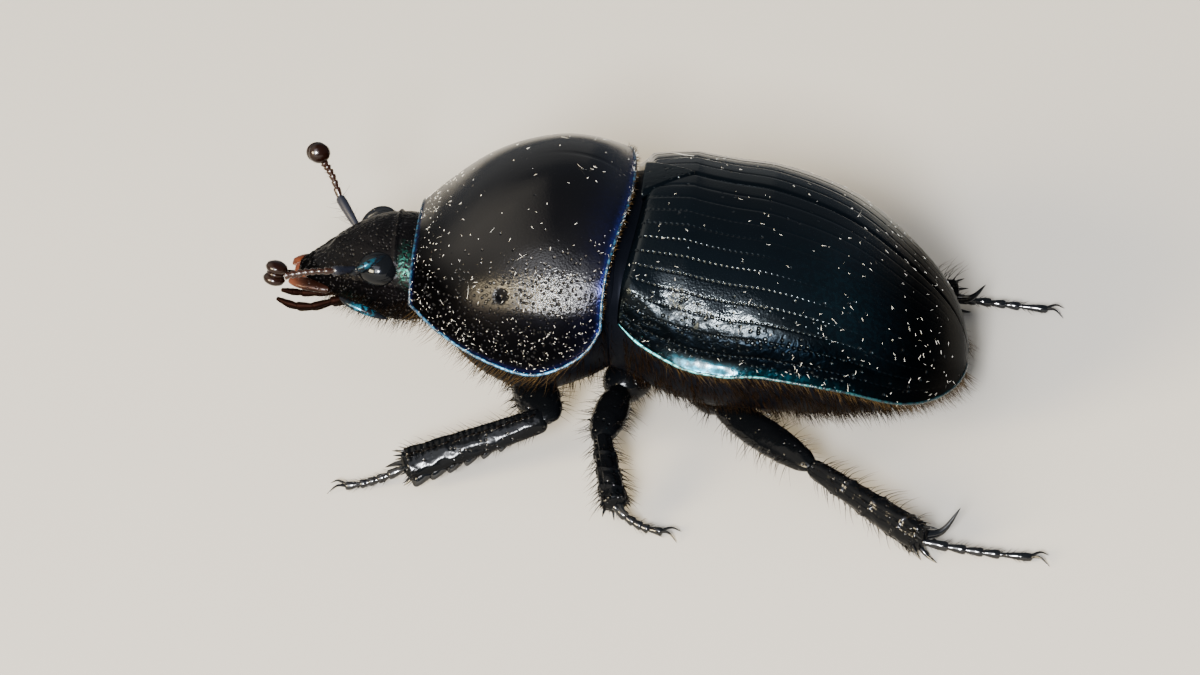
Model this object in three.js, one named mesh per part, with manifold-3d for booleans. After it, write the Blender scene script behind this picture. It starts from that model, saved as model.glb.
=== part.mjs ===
// A dor beetle (a dung beetle of the family Geotrupidae) at life size, standing on six feet.
// Millimetres, +Z up. The head points to -X, the beetle's left side faces -Y, and the feet stand at z = 0.
// Stations along the body are x values measured from the joint between pronotum and wing cases.
import * as THREE from "three";
import { mergeVertices } from "three/addons/utils/BufferGeometryUtils.js";
import Module from "manifold-3d";

const wasm = await Module();
wasm.setup();

// ---------------------------------------------------------------- driving dimensions
const SEAM = 0.06; // gap left between neighbouring plates
const SHELL = 0.55; // thickness of the pronotum and the wing cases
const RIM = 0.1; // how far the rolled edge of a shell stands out
const ARCH = 0.92; // 1 makes a shell's cross-section an ellipse, less makes it squarer
const FEELER = 0.25; // least half-thickness of a feeler, palp or foot
const SOLE = 0.19; // height of a foot's centre line over the floor

const PRONOTUM = {
  front: -6.06, // front edge on the midline
  rear: -0.24, // rear edge on the midline
  frontLead: 0.02, // how far the front corners reach ahead of the front edge
  rearLead: 0.62, // how far the hind corners stay ahead of the rear edge
};
const WING_CASE = {
  base: 0.06, // front edge on the midline
  shoulderLead: 0.48, // how far the shoulders reach ahead of it
  apex: 8.83, // rear end
  widest: 4.76, // half-width of the pair
  widestAt: 4.0,
  shoulders: 0.66, // how much narrower it is at the shoulders
  top: 7.3, // highest point
  topAt: 1.4,
};
const BELLY = { neck: -0.56, waist: 3.3, tail: 8.45 };
const LIP = 0.3; // how far a shell reaches below its edge line
const SCUTELLUM = { length: 1.55, halfWidth: 1.05, thickness: 0.5 };
const EYE = { at: [-7.03, 1.5, 4.82], halfSizes: [0.42, 0.4, 0.4] };
const CLUB = [0.36, 0.3, 0.38]; // half-sizes

// Outlines as [station x, value] pairs, joined by a smooth curve.
const pronotumHalfWidth = smoothCurve([
  [-6.1, 2.76], [-5.25, 3.52], [-4.1, 4.17], [-2.6, 4.52], [-1.3, 4.38], [-0.7, 4.12],
]);
const pronotumEdge = smoothCurve([
  [-6.1, 4.5], [-5.25, 4.06], [-4.1, 3.63], [-2.8, 3.34], [-1.9, 3.56], [-1.2, 4.05], [-0.7, 4.85],
]);
const pronotumTop = smoothCurve([
  [-6.1, 5.62], [-5.4, 6.3], [-4.3, 7.14], [-3.2, 7.62], [-2.1, 7.8], [-1.1, 7.6], [-0.2, 7.02],
]);
const wingEdge = smoothCurve([
  [-0.42, 4.7], [0.2, 4.16], [1.2, 3.7], [2.4, 3.53], [3.6, 3.5], [5.6, 3.12], [7.4, 2.4], [8.86, 2.05],
]);
const headHalfWidth = smoothCurve([
  [-9.3, 0.75], [-8.9, 1.15], [-8.2, 1.5], [-7.5, 1.7], [-6.9, 1.8], [-6.3, 1.85], [-5.4, 1.9],
]);
const headTop = smoothCurve([
  [-9.3, 4.32], [-8.6, 4.88], [-8.0, 5.34], [-7.4, 5.64], [-6.8, 5.72], [-6.2, 5.66], [-5.4, 5.3],
]);
const headEdge = smoothCurve([[-9.3, 4.2], [-8.0, 4.35], [-6.8, 4.45], [-5.4, 4.3]]);
const headBottom = smoothCurve([[-9.3, 4.05], [-8.6, 3.55], [-7.6, 2.95], [-6.6, 2.8], [-5.4, 3.1]]);
const bellyBottom = smoothCurve([
  [-5.6, 3.1], [-4.4, 2.2], [-2.8, 1.75], [-1.2, 1.85], [-0.3, 1.75],
  [1.4, 1.3], [3.3, 1.2], [5.6, 1.2], [7.4, 1.4], [8.5, 1.75],
]);

// Stalk and club of each antenna. The left one reaches forward, the right one is raised.
const ANTENNAE = {
  left: {
    stalk: [[-7.7, -1.3, 4.75], [-8.1, -1.8, 4.93], [-8.8, -1.9, 4.92], [-9.5, -1.88, 4.78]],
    club: [-9.78, -1.88, 4.86],
    lean: 0.2,
  },
  right: {
    stalk: [[-7.75, 1.2, 4.6], [-8.35, 2.0, 5.15], [-8.65, 2.35, 5.8], [-8.95, 2.52, 6.2]],
    club: [-9.05, 2.6, 6.37],
    lean: 1.0,
  },
};

// Half-sizes of each kind of leg: coxa reach and width, femur breadth and thickness, tibia breadth at the
// knee and at the foot and its thickness. spur says how far the thorn at the foot stands inward and up.
const FORE = { coxa: [0.5, 0.62], femur: [0.62, 0.44], tibia: [0.27, 0.48, 0.27], spur: [0.5, -0.1] };
const MID = { coxa: [0.42, 0.6], femur: [0.5, 0.42], tibia: [0.26, 0.36, 0.32], spur: [0.3, 0.05] };
const HIND = { coxa: [0.52, 0.55], femur: [0.56, 0.4], tibia: [0.25, 0.5, 0.36], spur: [0.95, 0.7] };
const SAW_TEETH = 6; // on the edge of each fore tibia
const RIDGES = 3; // along each of the other tibiae

// Joints of each leg in the standing pose. broad is the way that the broad side of the tibia faces.
const LEGS = [
  {
    name: "left_fore", build: FORE, broad: [0, 0.6, 0.8],
    hip: [-3.35, -0.9, 2.1], root: [-3.05, -2.0, 2.15], knee: [-2.28, -4.3, 1.95],
    ankle: [-6.05, -5.05, 0.75], bend: [-6.9, -5.15, 0.28], toe: [-8.0, -5.1, SOLE],
  },
  {
    name: "left_mid", build: MID, broad: [1, 0.2, 0.2],
    hip: [-0.15, -0.85, 1.75], root: [-0.5, -2.1, 1.75], knee: [-0.8, -4.45, 1.5],
    ankle: [-0.3, -6.85, 0.72], bend: [0.3, -7.1, SOLE], toe: [1.35, -7.25, SOLE],
  },
  {
    name: "left_hind", build: HIND, broad: [0.4, -0.4, 1],
    hip: [1.75, -0.95, 1.55], root: [2.2, -2.5, 1.6], knee: [4.8, -5.7, 1.5],
    ankle: [7.9, -7.95, 0.54], bend: [9.2, -8.05, 0.3], toe: [11.15, -7.95, SOLE],
  },
  {
    name: "right_fore", build: FORE, broad: [0, -0.6, 0.8],
    hip: [-3.35, 0.9, 2.1], root: [-3.1, 2.0, 2.15], knee: [-2.6, 4.25, 1.95],
    ankle: [-4.9, 7.25, 0.76], bend: [-5.4, 7.95, 0.28], toe: [-6.1, 8.75, SOLE],
  },
  {
    name: "right_mid", build: MID, broad: [1, 0.2, 0.2],
    hip: [-0.15, 0.85, 1.75], root: [-0.3, 2.1, 1.75], knee: [0.1, 4.45, 1.5],
    ankle: [1.6, 6.4, 0.72], bend: [2.2, 6.9, SOLE], toe: [3.2, 7.5, SOLE],
  },
  {
    name: "right_hind", build: HIND, broad: [0.4, 0.4, 1],
    hip: [1.75, 0.95, 1.55], root: [2.2, 2.5, 1.6], knee: [5.0, 5.3, 1.5],
    ankle: [8.3, 6.9, 0.54], bend: [9.4, 7.1, 0.3], toe: [11.25, 7.05, SOLE],
  },
];

// ---------------------------------------------------------------- colours
const COLOURS = {
  shell: new THREE.MeshStandardMaterial({ color: 0x0b0d14, roughness: 0.22, metalness: 0.1 }),
  head: new THREE.MeshStandardMaterial({ color: 0x14151a, roughness: 0.42, metalness: 0.1 }),
  eye: new THREE.MeshStandardMaterial({ color: 0x26221e, roughness: 0.1, metalness: 0 }),
  under: new THREE.MeshStandardMaterial({ color: 0x0c0a0a, roughness: 0.5, metalness: 0.1 }),
  leg: new THREE.MeshStandardMaterial({ color: 0x0a0a0d, roughness: 0.25, metalness: 0.1 }),
  feeler: new THREE.MeshStandardMaterial({ color: 0x2a120c, roughness: 0.35, metalness: 0 }),
  mouth: new THREE.MeshStandardMaterial({ color: 0x4a1d10, roughness: 0.35, metalness: 0 }),
};

// ---------------------------------------------------------------- helpers
// A smooth curve through [x, value] pairs, read at any x.
function smoothCurve(points) {
  const slopeAt = (i) => {
    const before = points[Math.max(i - 1, 0)];
    const after = points[Math.min(i + 1, points.length - 1)];
    return (after[1] - before[1]) / (after[0] - before[0]);
  };
  return (x) => {
    const held = THREE.MathUtils.clamp(x, points[0][0], points.at(-1)[0]);
    const i = Math.min(Math.max(points.findIndex((p) => p[0] >= held) - 1, 0), points.length - 2);
    const span = points[i + 1][0] - points[i][0];
    const t = (held - points[i][0]) / span;
    const rise = t * t * (3 - 2 * t);
    const swing = t * (1 - t);
    return (
      points[i][1] * (1 - rise) + points[i + 1][1] * rise +
      span * swing * (slopeAt(i) * (1 - t) - slopeAt(i + 1) * t)
    );
  };
}

const signedPower = (value, power) => Math.sign(value) * Math.abs(value) ** power;

// A closed form swept from station 0 to 1: place(station, angle) gives each point of its skin.
function swept(around, along, place) {
  const form = new THREE.CylinderGeometry(1, 1, 1, around, along).rotateZ(-Math.PI / 2);
  const spots = form.getAttribute("position");
  for (let i = 0; i < spots.count; i++) {
    const station = spots.getX(i) + 0.5;
    const onRim = Math.hypot(spots.getY(i), spots.getZ(i)) > 0.5;
    const angle = Math.atan2(spots.getZ(i), spots.getY(i));
    const spot = onRim ? place(station, angle) : middleOf(station, around, place);
    spots.setXYZ(i, spot.x, spot.y, spot.z);
  }
  return solidOf(form);
}

function middleOf(station, around, place) {
  const middle = new THREE.Vector3();
  for (let k = 0; k < around; k++) middle.add(place(station, (k / around) * 2 * Math.PI));
  return middle.divideScalar(around);
}

// A closed three.js geometry as a solid that can be cut and joined.
function solidOf(geometry) {
  const bare = geometry.clone();
  bare.deleteAttribute("normal");
  bare.deleteAttribute("uv");
  const merged = mergeVertices(bare, 1e-4);
  const corners = merged.index.array;
  const kept = [];
  for (let i = 0; i < corners.length; i += 3) {
    const [a, b, c] = [corners[i], corners[i + 1], corners[i + 2]];
    if (a !== b && b !== c && c !== a) kept.push(a, b, c);
  }
  const vertProperties = merged.getAttribute("position").array;
  return new wasm.Manifold(new wasm.Mesh({ numProp: 3, vertProperties, triVerts: new Uint32Array(kept) }));
}

// The biggest of the loose pieces that a cut leaves.
function mainPiece(solid) {
  return solid.decompose().reduce((big, piece) => (piece.volume() > big.volume() ? piece : big));
}

// A bar along a curve: radiusAt(station) is its half-thickness, and flatness below 1 thins it up and down.
function bar(curve, radiusAt, around, along, flatness = 1) {
  return swept(around, along, (station, angle) => {
    const way = curve.getTangentAt(station);
    const side = new THREE.Vector3(0, 0, 1).cross(way).normalize();
    const lift = new THREE.Vector3().crossVectors(way, side);
    const radius = radiusAt(station);
    return curve.getPointAt(station)
      .addScaledVector(side, radius * Math.cos(angle))
      .addScaledVector(lift, radius * flatness * Math.sin(angle));
  });
}

const point = (xyz) => new THREE.Vector3(...xyz);
const curveOf = (...xyz) => new THREE.CatmullRomCurve3(xyz.map(point));
// Stations bunched at both ends, so that a form closes with a round end.
const eased = (station) => (1 - Math.cos(Math.PI * station)) / 2;
const roundEnds = (station, power) => Math.max(Math.sin(Math.PI * station), 0) ** power;

// ---------------------------------------------------------------- trunk sections
// A ring of the trunk: an arch over the edge line and a second, lower one under it.
function ring(x, angle, halfWidth, edge, top, bottom, rim = 0) {
  const across = Math.cos(angle);
  const rise = Math.sin(angle);
  const flange = Math.abs(rise) < 0.02 ? rim * Math.sign(across) : 0;
  const height = rise > 0 ? top - edge : edge - bottom;
  const y = halfWidth * signedPower(across, ARCH) + flange;
  return new THREE.Vector3(x, y, edge + height * signedPower(rise, ARCH));
}

// The wing cases narrow and sink to a blunt end.
function wingHalfWidth(x) {
  const { widest, widestAt, shoulders, apex } = WING_CASE;
  if (x < widestAt) return widest - shoulders * ((widestAt - x) / (widestAt + 0.42)) ** 2;
  return widest * Math.max(1 - ((x - widestAt) / (apex - widestAt)) ** 2.5, 0) ** 0.45;
}

function wingTop(x) {
  const { top, topAt, apex } = WING_CASE;
  if (x < topAt) return top - 0.14 * ((topAt - x) / topAt) ** 2;
  const past = (x - topAt) / (apex - topAt);
  const rise = (top - wingEdge(topAt)) * Math.max(1 - past ** 2.5, 0) ** 0.5;
  return wingEdge(x) + rise - 0.22 * Math.sin(Math.PI * past);
}

// The outside of both wing cases together, closed underneath by a shallow lip.
function wingDome() {
  const { base, shoulderLead, apex } = WING_CASE;
  return swept(30, 10, (station, angle) => {
    const front = base - shoulderLead * Math.cos(angle) ** 2;
    const x = front + (apex - front) * Math.sin((Math.PI / 2) * station);
    return ring(x, angle, wingHalfWidth(x), wingEdge(x), wingTop(x), wingEdge(x) - LIP, RIM);
  });
}

// The outside of the pronotum, closed underneath in the same way.
function pronotumDome() {
  const { front, rear, frontLead, rearLead } = PRONOTUM;
  return swept(30, 8, (station, angle) => {
    const spread = Math.cos(angle) ** 2;
    const start = front - frontLead * spread;
    const end = rear - rearLead * spread;
    const x = start + (end - start) * station;
    const edge = pronotumEdge(x);
    return ring(x, angle, pronotumHalfWidth(x), edge, pronotumTop(x), edge - LIP, RIM);
  });
}

// The trunk inside a pair of shells, made slimmer than they are by inset. blunt holds the share of its full
// section that is left at its front and at its rear end.
function trunk({ from, to, blunt, halfWidth, edge, top }, inset) {
  return swept(16, 7, (station, angle) => {
    const x = from + (to - from) * eased(station);
    const end = blunt[0] + (blunt[1] - blunt[0]) * station;
    const share = end + (1 - end) * roundEnds(station, 0.7);
    const wide = Math.max(halfWidth(x) - inset, 0.3) * share;
    const roof = edge(x) + Math.max(top(x) - edge(x) - inset, 0.2) * share;
    const floor = edge(x) - (edge(x) - bellyBottom(x)) * share;
    return ring(x, angle, wide, edge(x), roof, floor);
  });
}

const FOREBODY = {
  from: -5.45, to: -0.62, blunt: [0.5, 0.8],
  halfWidth: pronotumHalfWidth, edge: pronotumEdge, top: pronotumTop,
};
const HINDBODY = {
  from: BELLY.neck, to: BELLY.tail, blunt: [0.86, 0.5],
  halfWidth: wingHalfWidth, edge: wingEdge, top: wingTop,
};

// A slab that fills one side of a plane across X or Y.
function slab(axis, from, to) {
  const size = 40;
  const box = new THREE.BoxGeometry(axis === "x" ? to - from : size, axis === "y" ? to - from : size, size);
  const middle = (from + to) / 2;
  return solidOf(box.translate(axis === "x" ? middle : 0, axis === "y" ? middle : 0, 0));
}

// ---------------------------------------------------------------- head
function headCapsule(grow = 0) {
  return swept(16, 7, (station, angle) => {
    const x = -9.32 - grow + (3.9 + grow) * eased(station) ** 0.85;
    const share = 0.35 + 0.65 * roundEnds(station / 2, 0.5);
    const edge = headEdge(x);
    const roof = edge + (headTop(x) - edge + grow) * share;
    const floor = edge - (edge - headBottom(x) + grow) * share;
    return ring(x, angle, (headHalfWidth(x) + grow) * share, edge, roof, floor);
  });
}

// A ball with the given half-sizes, grown on all sides.
function ball(halfSizes, grow) {
  return new THREE.SphereGeometry(1, 9, 7).scale(...halfSizes.map((half) => half + grow));
}

function eye(side, grow = 0) {
  const [x, y, z] = EYE.at;
  return solidOf(ball(EYE.halfSizes, grow).translate(x, side * y, z));
}

function mandible(side) {
  const path = curveOf(
    [-8.4, side, 3.85], [-9.0, side * 1.12, 3.85],
    [-9.42, side * 0.95, 3.85], [-9.64, side * 0.6, 3.87],
  );
  return bar(path, (station) => 0.42 * (1 - 0.55 * station ** 2), 8, 4, 0.6);
}

function labrum(grow = 0) {
  const path = curveOf([-9.1, 0, 4.05], [-9.4, 0, 4.05], [-9.68, 0, 4.02]);
  return bar(path, (station) => 0.5 - 0.1 * station + grow, 10, 2, 0.5);
}

function palp(side, spread, drop) {
  const path = curveOf(
    [-8.5, side * spread, 3.45 - drop], [-9.0, side * (spread + 0.15), 3.25 - drop],
    [-9.5, side * (spread + 0.1), 3.25 - drop], [-9.85, side * spread, 3.35 - drop],
  );
  return bar(path, (station) => FEELER * (1 - 0.15 * station), 6, 4);
}

// The scape and the beaded funicle make one bent bar, and the three-leaved club closes it.
function stalk(side) {
  return bar(curveOf(...ANTENNAE[side].stalk), (station) => FEELER * (station < 0.35 ? 1.1 : 1), 6, 6);
}

function club(side, grow = 0) {
  const { club: middle, lean } = ANTENNAE[side];
  return solidOf(ball(CLUB, grow).rotateY(lean).translate(...middle));
}

// ---------------------------------------------------------------- legs
// The ways of a limb part that runs from one point to another, its broad side in the plane of facing.
function limbFrame(from, to, facing) {
  const way = new THREE.Vector3().subVectors(to, from);
  const axis = way.clone().normalize();
  const thinWay = new THREE.Vector3().crossVectors(axis, facing).normalize();
  const broadWay = new THREE.Vector3().crossVectors(thinWay, axis);
  return { way, axis, broadWay, thinWay };
}

// A straight limb part: broad and thin are its half-sizes at each share of the way.
function limb(from, to, facing, broad, thin, around, along, ends = true) {
  const { way, broadWay, thinWay } = limbFrame(from, to, facing);
  return swept(around, along, (station, angle) => {
    const share = ends ? eased(station) : station;
    return from.clone().addScaledVector(way, share)
      .addScaledVector(broadWay, broad(share) * Math.cos(angle))
      .addScaledVector(thinWay, thin(share) * Math.sin(angle));
  });
}

const plump = (size) => (share) => size * Math.max(share * (1 - share) * 4, 0) ** 0.4;

function coxa(leg, grow = 0) {
  const [inset, size] = leg.build.coxa;
  const [hip, root] = [point(leg.hip), point(leg.root)];
  const away = new THREE.Vector3().subVectors(root, hip).normalize();
  const start = hip.clone().addScaledVector(away, -inset);
  const end = root.clone().addScaledVector(away, 0.15);
  return limb(start, end, point([1, 0, 0]), plump(size * 1.15 + grow), plump(size + grow), 8, 5);
}

function femur(leg, grow = 0) {
  const [broad, thin] = leg.build.femur;
  const [root, knee] = [point(leg.root), point(leg.knee)];
  const away = new THREE.Vector3().subVectors(knee, root).normalize();
  const start = root.clone().addScaledVector(away, -0.1);
  const end = knee.clone().addScaledVector(away, 0.22 + grow);
  return limb(start, end, point([1, 0, 0.2]), plump(broad + grow), plump(thin + grow), 8, 6);
}

// The tibia widens towards its end. The fore one has a saw edge for digging, the others three low ridges.
function tibia(leg, grow = 0) {
  const [narrow, wide, thick] = leg.build.tibia;
  const sawn = leg.build === FORE;
  const ridge = (share) => (sawn ? 0 : 0.05 * (Math.round(share * 2 * RIDGES) % 2));
  const broad = (share) => narrow + (wide - narrow) * share + ridge(share) + grow;
  const thin = (share) => Math.min(narrow + (thick - narrow) * share * 1.5, thick) + grow;
  const shaft = limb(point(leg.knee), point(leg.ankle), point(leg.broad), broad, thin, 8, 2 * RIDGES, false);
  const whole = sawn ? shaft.add(sawEdge(leg)) : shaft;
  return whole.add(spur(leg)).trimByPlane([0, 0, 1], 0);
}

// A toothed plate along the lower edge of a fore tibia, the largest tooth at its end.
function sawEdge(leg) {
  const [knee, ankle] = [point(leg.knee), point(leg.ankle)];
  const { way, axis, broadWay, thinWay } = limbFrame(knee, ankle, point(leg.broad));
  const [narrow, wide, thick] = leg.build.tibia;
  const length = way.length();
  const outline = new THREE.Shape();
  outline.moveTo(0.22 * length, 0);
  for (let i = 1; i <= SAW_TEETH; i++) {
    const share = 0.28 + (0.72 * i) / SAW_TEETH;
    const edge = narrow + (wide - narrow) * share;
    outline.lineTo(share * length, -edge - 0.1 - 0.035 * i);
    outline.lineTo(share * length + 0.03, -edge * 0.85);
  }
  outline.lineTo(length, 0);
  const plate = new THREE.ExtrudeGeometry(outline, { depth: 2 * thick, bevelEnabled: false });
  const place = new THREE.Matrix4().makeBasis(axis, broadWay, thinWay).setPosition(knee);
  return solidOf(plate.translate(0, 0, -thick).applyMatrix4(place));
}

// The long thorn at the end of each tibia, on its inner side.
function spur(leg) {
  const [inset, rise] = leg.build.spur;
  const { axis } = limbFrame(point(leg.knee), point(leg.ankle), point(leg.broad));
  const inward = new THREE.Vector3(-axis.y, axis.x, 0).normalize();
  if (inward.y * leg.hip[1] > 0) inward.negate();
  const root = point(leg.ankle).addScaledVector(axis, -0.2).addScaledVector(inward, 0.15);
  const tip = point(leg.ankle).addScaledVector(axis, 0.5).addScaledVector(inward, inset);
  return bar(new THREE.LineCurve3(root, tip.setZ(tip.z + rise)), (station) => 0.26 - 0.14 * station, 5, 1);
}

// Five little joints on a bent line, then a pair of claws. It is cut flat where it stands on the floor.
function tarsus(leg) {
  const [ankle, bend, toe] = [point(leg.ankle), point(leg.bend), point(leg.toe)];
  const way = new THREE.Vector3().subVectors(toe, bend).setZ(0).normalize();
  const side = new THREE.Vector3().crossVectors(new THREE.Vector3(0, 0, 1), way);
  const last = toe.clone().addScaledVector(way, -0.45);
  const path = new THREE.QuadraticBezierCurve3(ankle, bend, last);
  let made = bar(path, (station) => FEELER * (Math.round(station * 10) % 2 ? 1.12 : 0.94), 6, 10);
  for (const turn of [-1, 1]) {
    const tip = toe.clone().addScaledVector(side, turn * 0.34).setZ(0.12);
    const knuckle = last.clone().addScaledVector(way, 0.3).addScaledVector(side, turn * 0.28);
    const claw = new THREE.QuadraticBezierCurve3(last.clone().addScaledVector(way, -0.1), knuckle, tip);
    made = made.add(bar(claw, (station) => 0.2 * (1 - 0.45 * station), 4, 2));
  }
  return made.trimByPlane([0, 0, 1], 0);
}

// ---------------------------------------------------------------- assembly
const beetle = new THREE.Group();

function addNode(name, solid, colour) {
  const mesh = solid.getMesh();
  const geometry = new THREE.BufferGeometry();
  geometry.setAttribute("position", new THREE.BufferAttribute(new Float32Array(mesh.vertProperties), 3));
  geometry.setIndex(new THREE.BufferAttribute(new Uint32Array(mesh.triVerts), 1));
  geometry.computeVertexNormals();
  const node = new THREE.Mesh(geometry, COLOURS[colour]);
  node.name = name;
  beetle.add(node);
}

// The triangular plate between the wing cases, behind the pronotum.
function scutellum(grow = 0) {
  const { length, halfWidth, thickness } = SCUTELLUM;
  const outline = new THREE.Shape();
  outline.moveTo(-0.12 - grow, -halfWidth - grow);
  outline.quadraticCurveTo(length * 0.6, -halfWidth * 0.75 - grow, length + grow * 2, 0);
  outline.quadraticCurveTo(length * 0.6, halfWidth * 0.75 + grow, -0.12 - grow, halfWidth + grow);
  const plate = new THREE.ExtrudeGeometry(outline, { depth: 3, bevelEnabled: false, curveSegments: 6 });
  const block = solidOf(plate.translate(WING_CASE.base + 0.02, 0, 5.5));
  return grow ? block : block.intersect(wingDome()).subtract(trunk(HINDBODY, thickness));
}

const heads = { whole: headCapsule(), room: headCapsule(SEAM) };
const dome = { pronotum: pronotumDome(), wings: wingDome() };
const rooms = { fore: trunk(FOREBODY, SHELL - SEAM), hind: trunk(HINDBODY, SHELL - SEAM) };

addNode("pronotum", mainPiece(dome.pronotum.subtract(rooms.fore).subtract(heads.room)), "shell");
addNode("scutellum", mainPiece(scutellum()), "shell");
const wings = dome.wings.subtract(rooms.hind).subtract(scutellum(SEAM));
addNode("left_elytron", mainPiece(wings.subtract(slab("y", -SEAM / 2, 20))), "shell");
addNode("right_elytron", mainPiece(wings.subtract(slab("y", -20, SEAM / 2))), "shell");

let sternum = trunk(FOREBODY, SHELL).subtract(heads.room);
let belly = trunk(HINDBODY, SHELL);
let skull = heads.whole;
for (const leg of LEGS) {
  const room = coxa(leg, SEAM);
  sternum = sternum.subtract(room).subtract(femur(leg, SEAM));
  belly = belly.subtract(room).subtract(femur(leg, SEAM));
}
belly = belly.subtract(rooms.fore).subtract(dome.pronotum.translate([SEAM, 0, 0]));
addNode("prosternum", mainPiece(sternum), "under");
addNode("thorax", mainPiece(belly.subtract(slab("x", BELLY.waist, 20))), "under");
addNode("abdomen", mainPiece(belly.subtract(slab("x", -20, BELLY.waist + SEAM))), "under");

for (const [name, side] of [["left", -1], ["right", 1]]) {
  addNode(name + "_eye", eye(side), "eye");
  skull = skull.subtract(eye(side, SEAM));
  const jaw = mandible(side).subtract(heads.room).subtract(labrum(SEAM));
  addNode(name + "_mandible", mainPiece(jaw), "mouth");
  addNode(name + "_maxillary_palp", mainPiece(palp(side, 0.85, 0).subtract(heads.room)), "mouth");
  addNode(name + "_labial_palp", mainPiece(palp(side, 0.32, 0.22).subtract(heads.room)), "mouth");
  const tip = club(name, SEAM);
  addNode(name + "_antenna", mainPiece(stalk(name).subtract(heads.room).subtract(tip)), "feeler");
  addNode(name + "_antenna_club", club(name), "feeler");
}
addNode("head", mainPiece(skull), "head");
addNode("labrum", mainPiece(labrum().subtract(heads.room)), "mouth");

for (const leg of LEGS) {
  addNode(leg.name + "_coxa", coxa(leg), "leg");
  addNode(leg.name + "_femur", mainPiece(femur(leg).subtract(coxa(leg, SEAM))), "leg");
  addNode(leg.name + "_tibia", mainPiece(tibia(leg).subtract(femur(leg, SEAM))), "leg");
  addNode(leg.name + "_tarsus", mainPiece(tarsus(leg).subtract(tibia(leg, SEAM))), "leg");
}

// The origin goes to the middle of the floor rectangle that the beetle covers.
const reach = new THREE.Box3().setFromObject(beetle);
const centre = reach.getCenter(new THREE.Vector3());
for (const node of beetle.children) node.geometry.translate(-centre.x, -centre.y, -reach.min.z);

export default beetle;
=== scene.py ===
# %% [markdown]
# # A dor beetle on its six feet
#
# A dor beetle is one of the dung beetles. It wears a hard shell of chitin: a domed neck shield (the
# pronotum), two grooved wing cases (the elytra), a shovel-shaped head and six digging legs. Everything
# soft is hidden, so the whole insect can be made as separate plates, as a jeweller would make it.
#
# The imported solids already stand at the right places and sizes. This lesson dresses them: each plain
# solid is replaced by a finer piece in the same place.

# %% Load the solids
import math

import bmesh
import bpy
import numpy as np
from mathutils import Matrix, Vector, noise


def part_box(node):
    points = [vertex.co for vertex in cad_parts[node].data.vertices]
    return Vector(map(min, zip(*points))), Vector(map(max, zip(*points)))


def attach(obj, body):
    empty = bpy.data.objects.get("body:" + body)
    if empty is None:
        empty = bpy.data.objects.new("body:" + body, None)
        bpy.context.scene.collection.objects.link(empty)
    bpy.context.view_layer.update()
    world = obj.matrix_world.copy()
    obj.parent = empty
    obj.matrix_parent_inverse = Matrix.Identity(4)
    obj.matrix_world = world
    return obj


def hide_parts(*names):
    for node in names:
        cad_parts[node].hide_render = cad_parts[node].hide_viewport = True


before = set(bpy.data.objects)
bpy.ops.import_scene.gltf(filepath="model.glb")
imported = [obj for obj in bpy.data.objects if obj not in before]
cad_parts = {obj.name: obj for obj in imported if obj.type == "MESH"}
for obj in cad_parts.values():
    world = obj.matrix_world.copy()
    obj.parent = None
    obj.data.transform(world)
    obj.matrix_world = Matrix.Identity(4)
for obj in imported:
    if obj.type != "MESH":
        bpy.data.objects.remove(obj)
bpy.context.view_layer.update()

# %% [markdown]
# ## One ruler for all pieces
#
# The beetle is 18 mm long, so its sizes are easiest to think of in millimetres, measured from the joint
# between pronotum and wing cases. Blender works in metres. Writing metres everywhere would bury the
# sizes in noughts, so one function turns a place in millimetres into a place in the scene. It finds the
# joint from the box round the solid pronotum, whose front edge lies 6.08 mm ahead of it.

# %% Places in millimetres
MM = 0.001
SHIELD_FRONT = 6.08  # millimetres from the joint to the front edge of the pronotum
SIDES = {"left": -1, "right": 1}  # which way of Y each side of the beetle lies
shield_low, shield_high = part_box("pronotum")
HOME = Vector((shield_low.x + SHIELD_FRONT * MM, (shield_low.y + shield_high.y) / 2, 0.0))


def spot(x, y, z):
    """A place given in millimetres from the joint between pronotum and wing cases, on the floor."""
    return HOME + Vector((x, y, z)) * MM


print("joint between pronotum and wing cases at", [round(v / MM, 3) for v in HOME], "mm")

# %% [markdown]
# ## Smooth outlines
#
# Shell outlines are long soft curves. They could be drawn as splines by hand, but then nobody could
# read a size off them. Here an outline is a short list of stations and values, and a cubic runs through
# them, so that changing one number changes one place on the shell.

# %% A curve through stations


def smooth_curve(points):
    """Gives a function that runs smoothly through (station, value) pairs."""
    def slope(i):
        before, after = points[max(i - 1, 0)], points[min(i + 1, len(points) - 1)]
        return (after[1] - before[1]) / (after[0] - before[0])

    def value(x):
        held = min(max(x, points[0][0]), points[-1][0])
        i = 0
        while i < len(points) - 2 and points[i + 1][0] < held:
            i += 1
        span = points[i + 1][0] - points[i][0]
        t = (held - points[i][0]) / span
        rise, swing = t * t * (3 - 2 * t), t * (1 - t)
        return (points[i][1] * (1 - rise) + points[i + 1][1] * rise
                + span * swing * (slope(i) * (1 - t) - slope(i + 1) * t))

    return value


def signed_power(value, power):
    return math.copysign(abs(value) ** power, value)


def hump(distance, width):
    """A soft round hump: 1 in the middle, nearly 0 at twice the width."""
    return math.exp(-(distance / width) ** 2)


def ramp(value, start, width):
    """0 up to the start, then rising to 1 over the width."""
    return min(max((value - start) / width, 0), 1)


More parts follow.
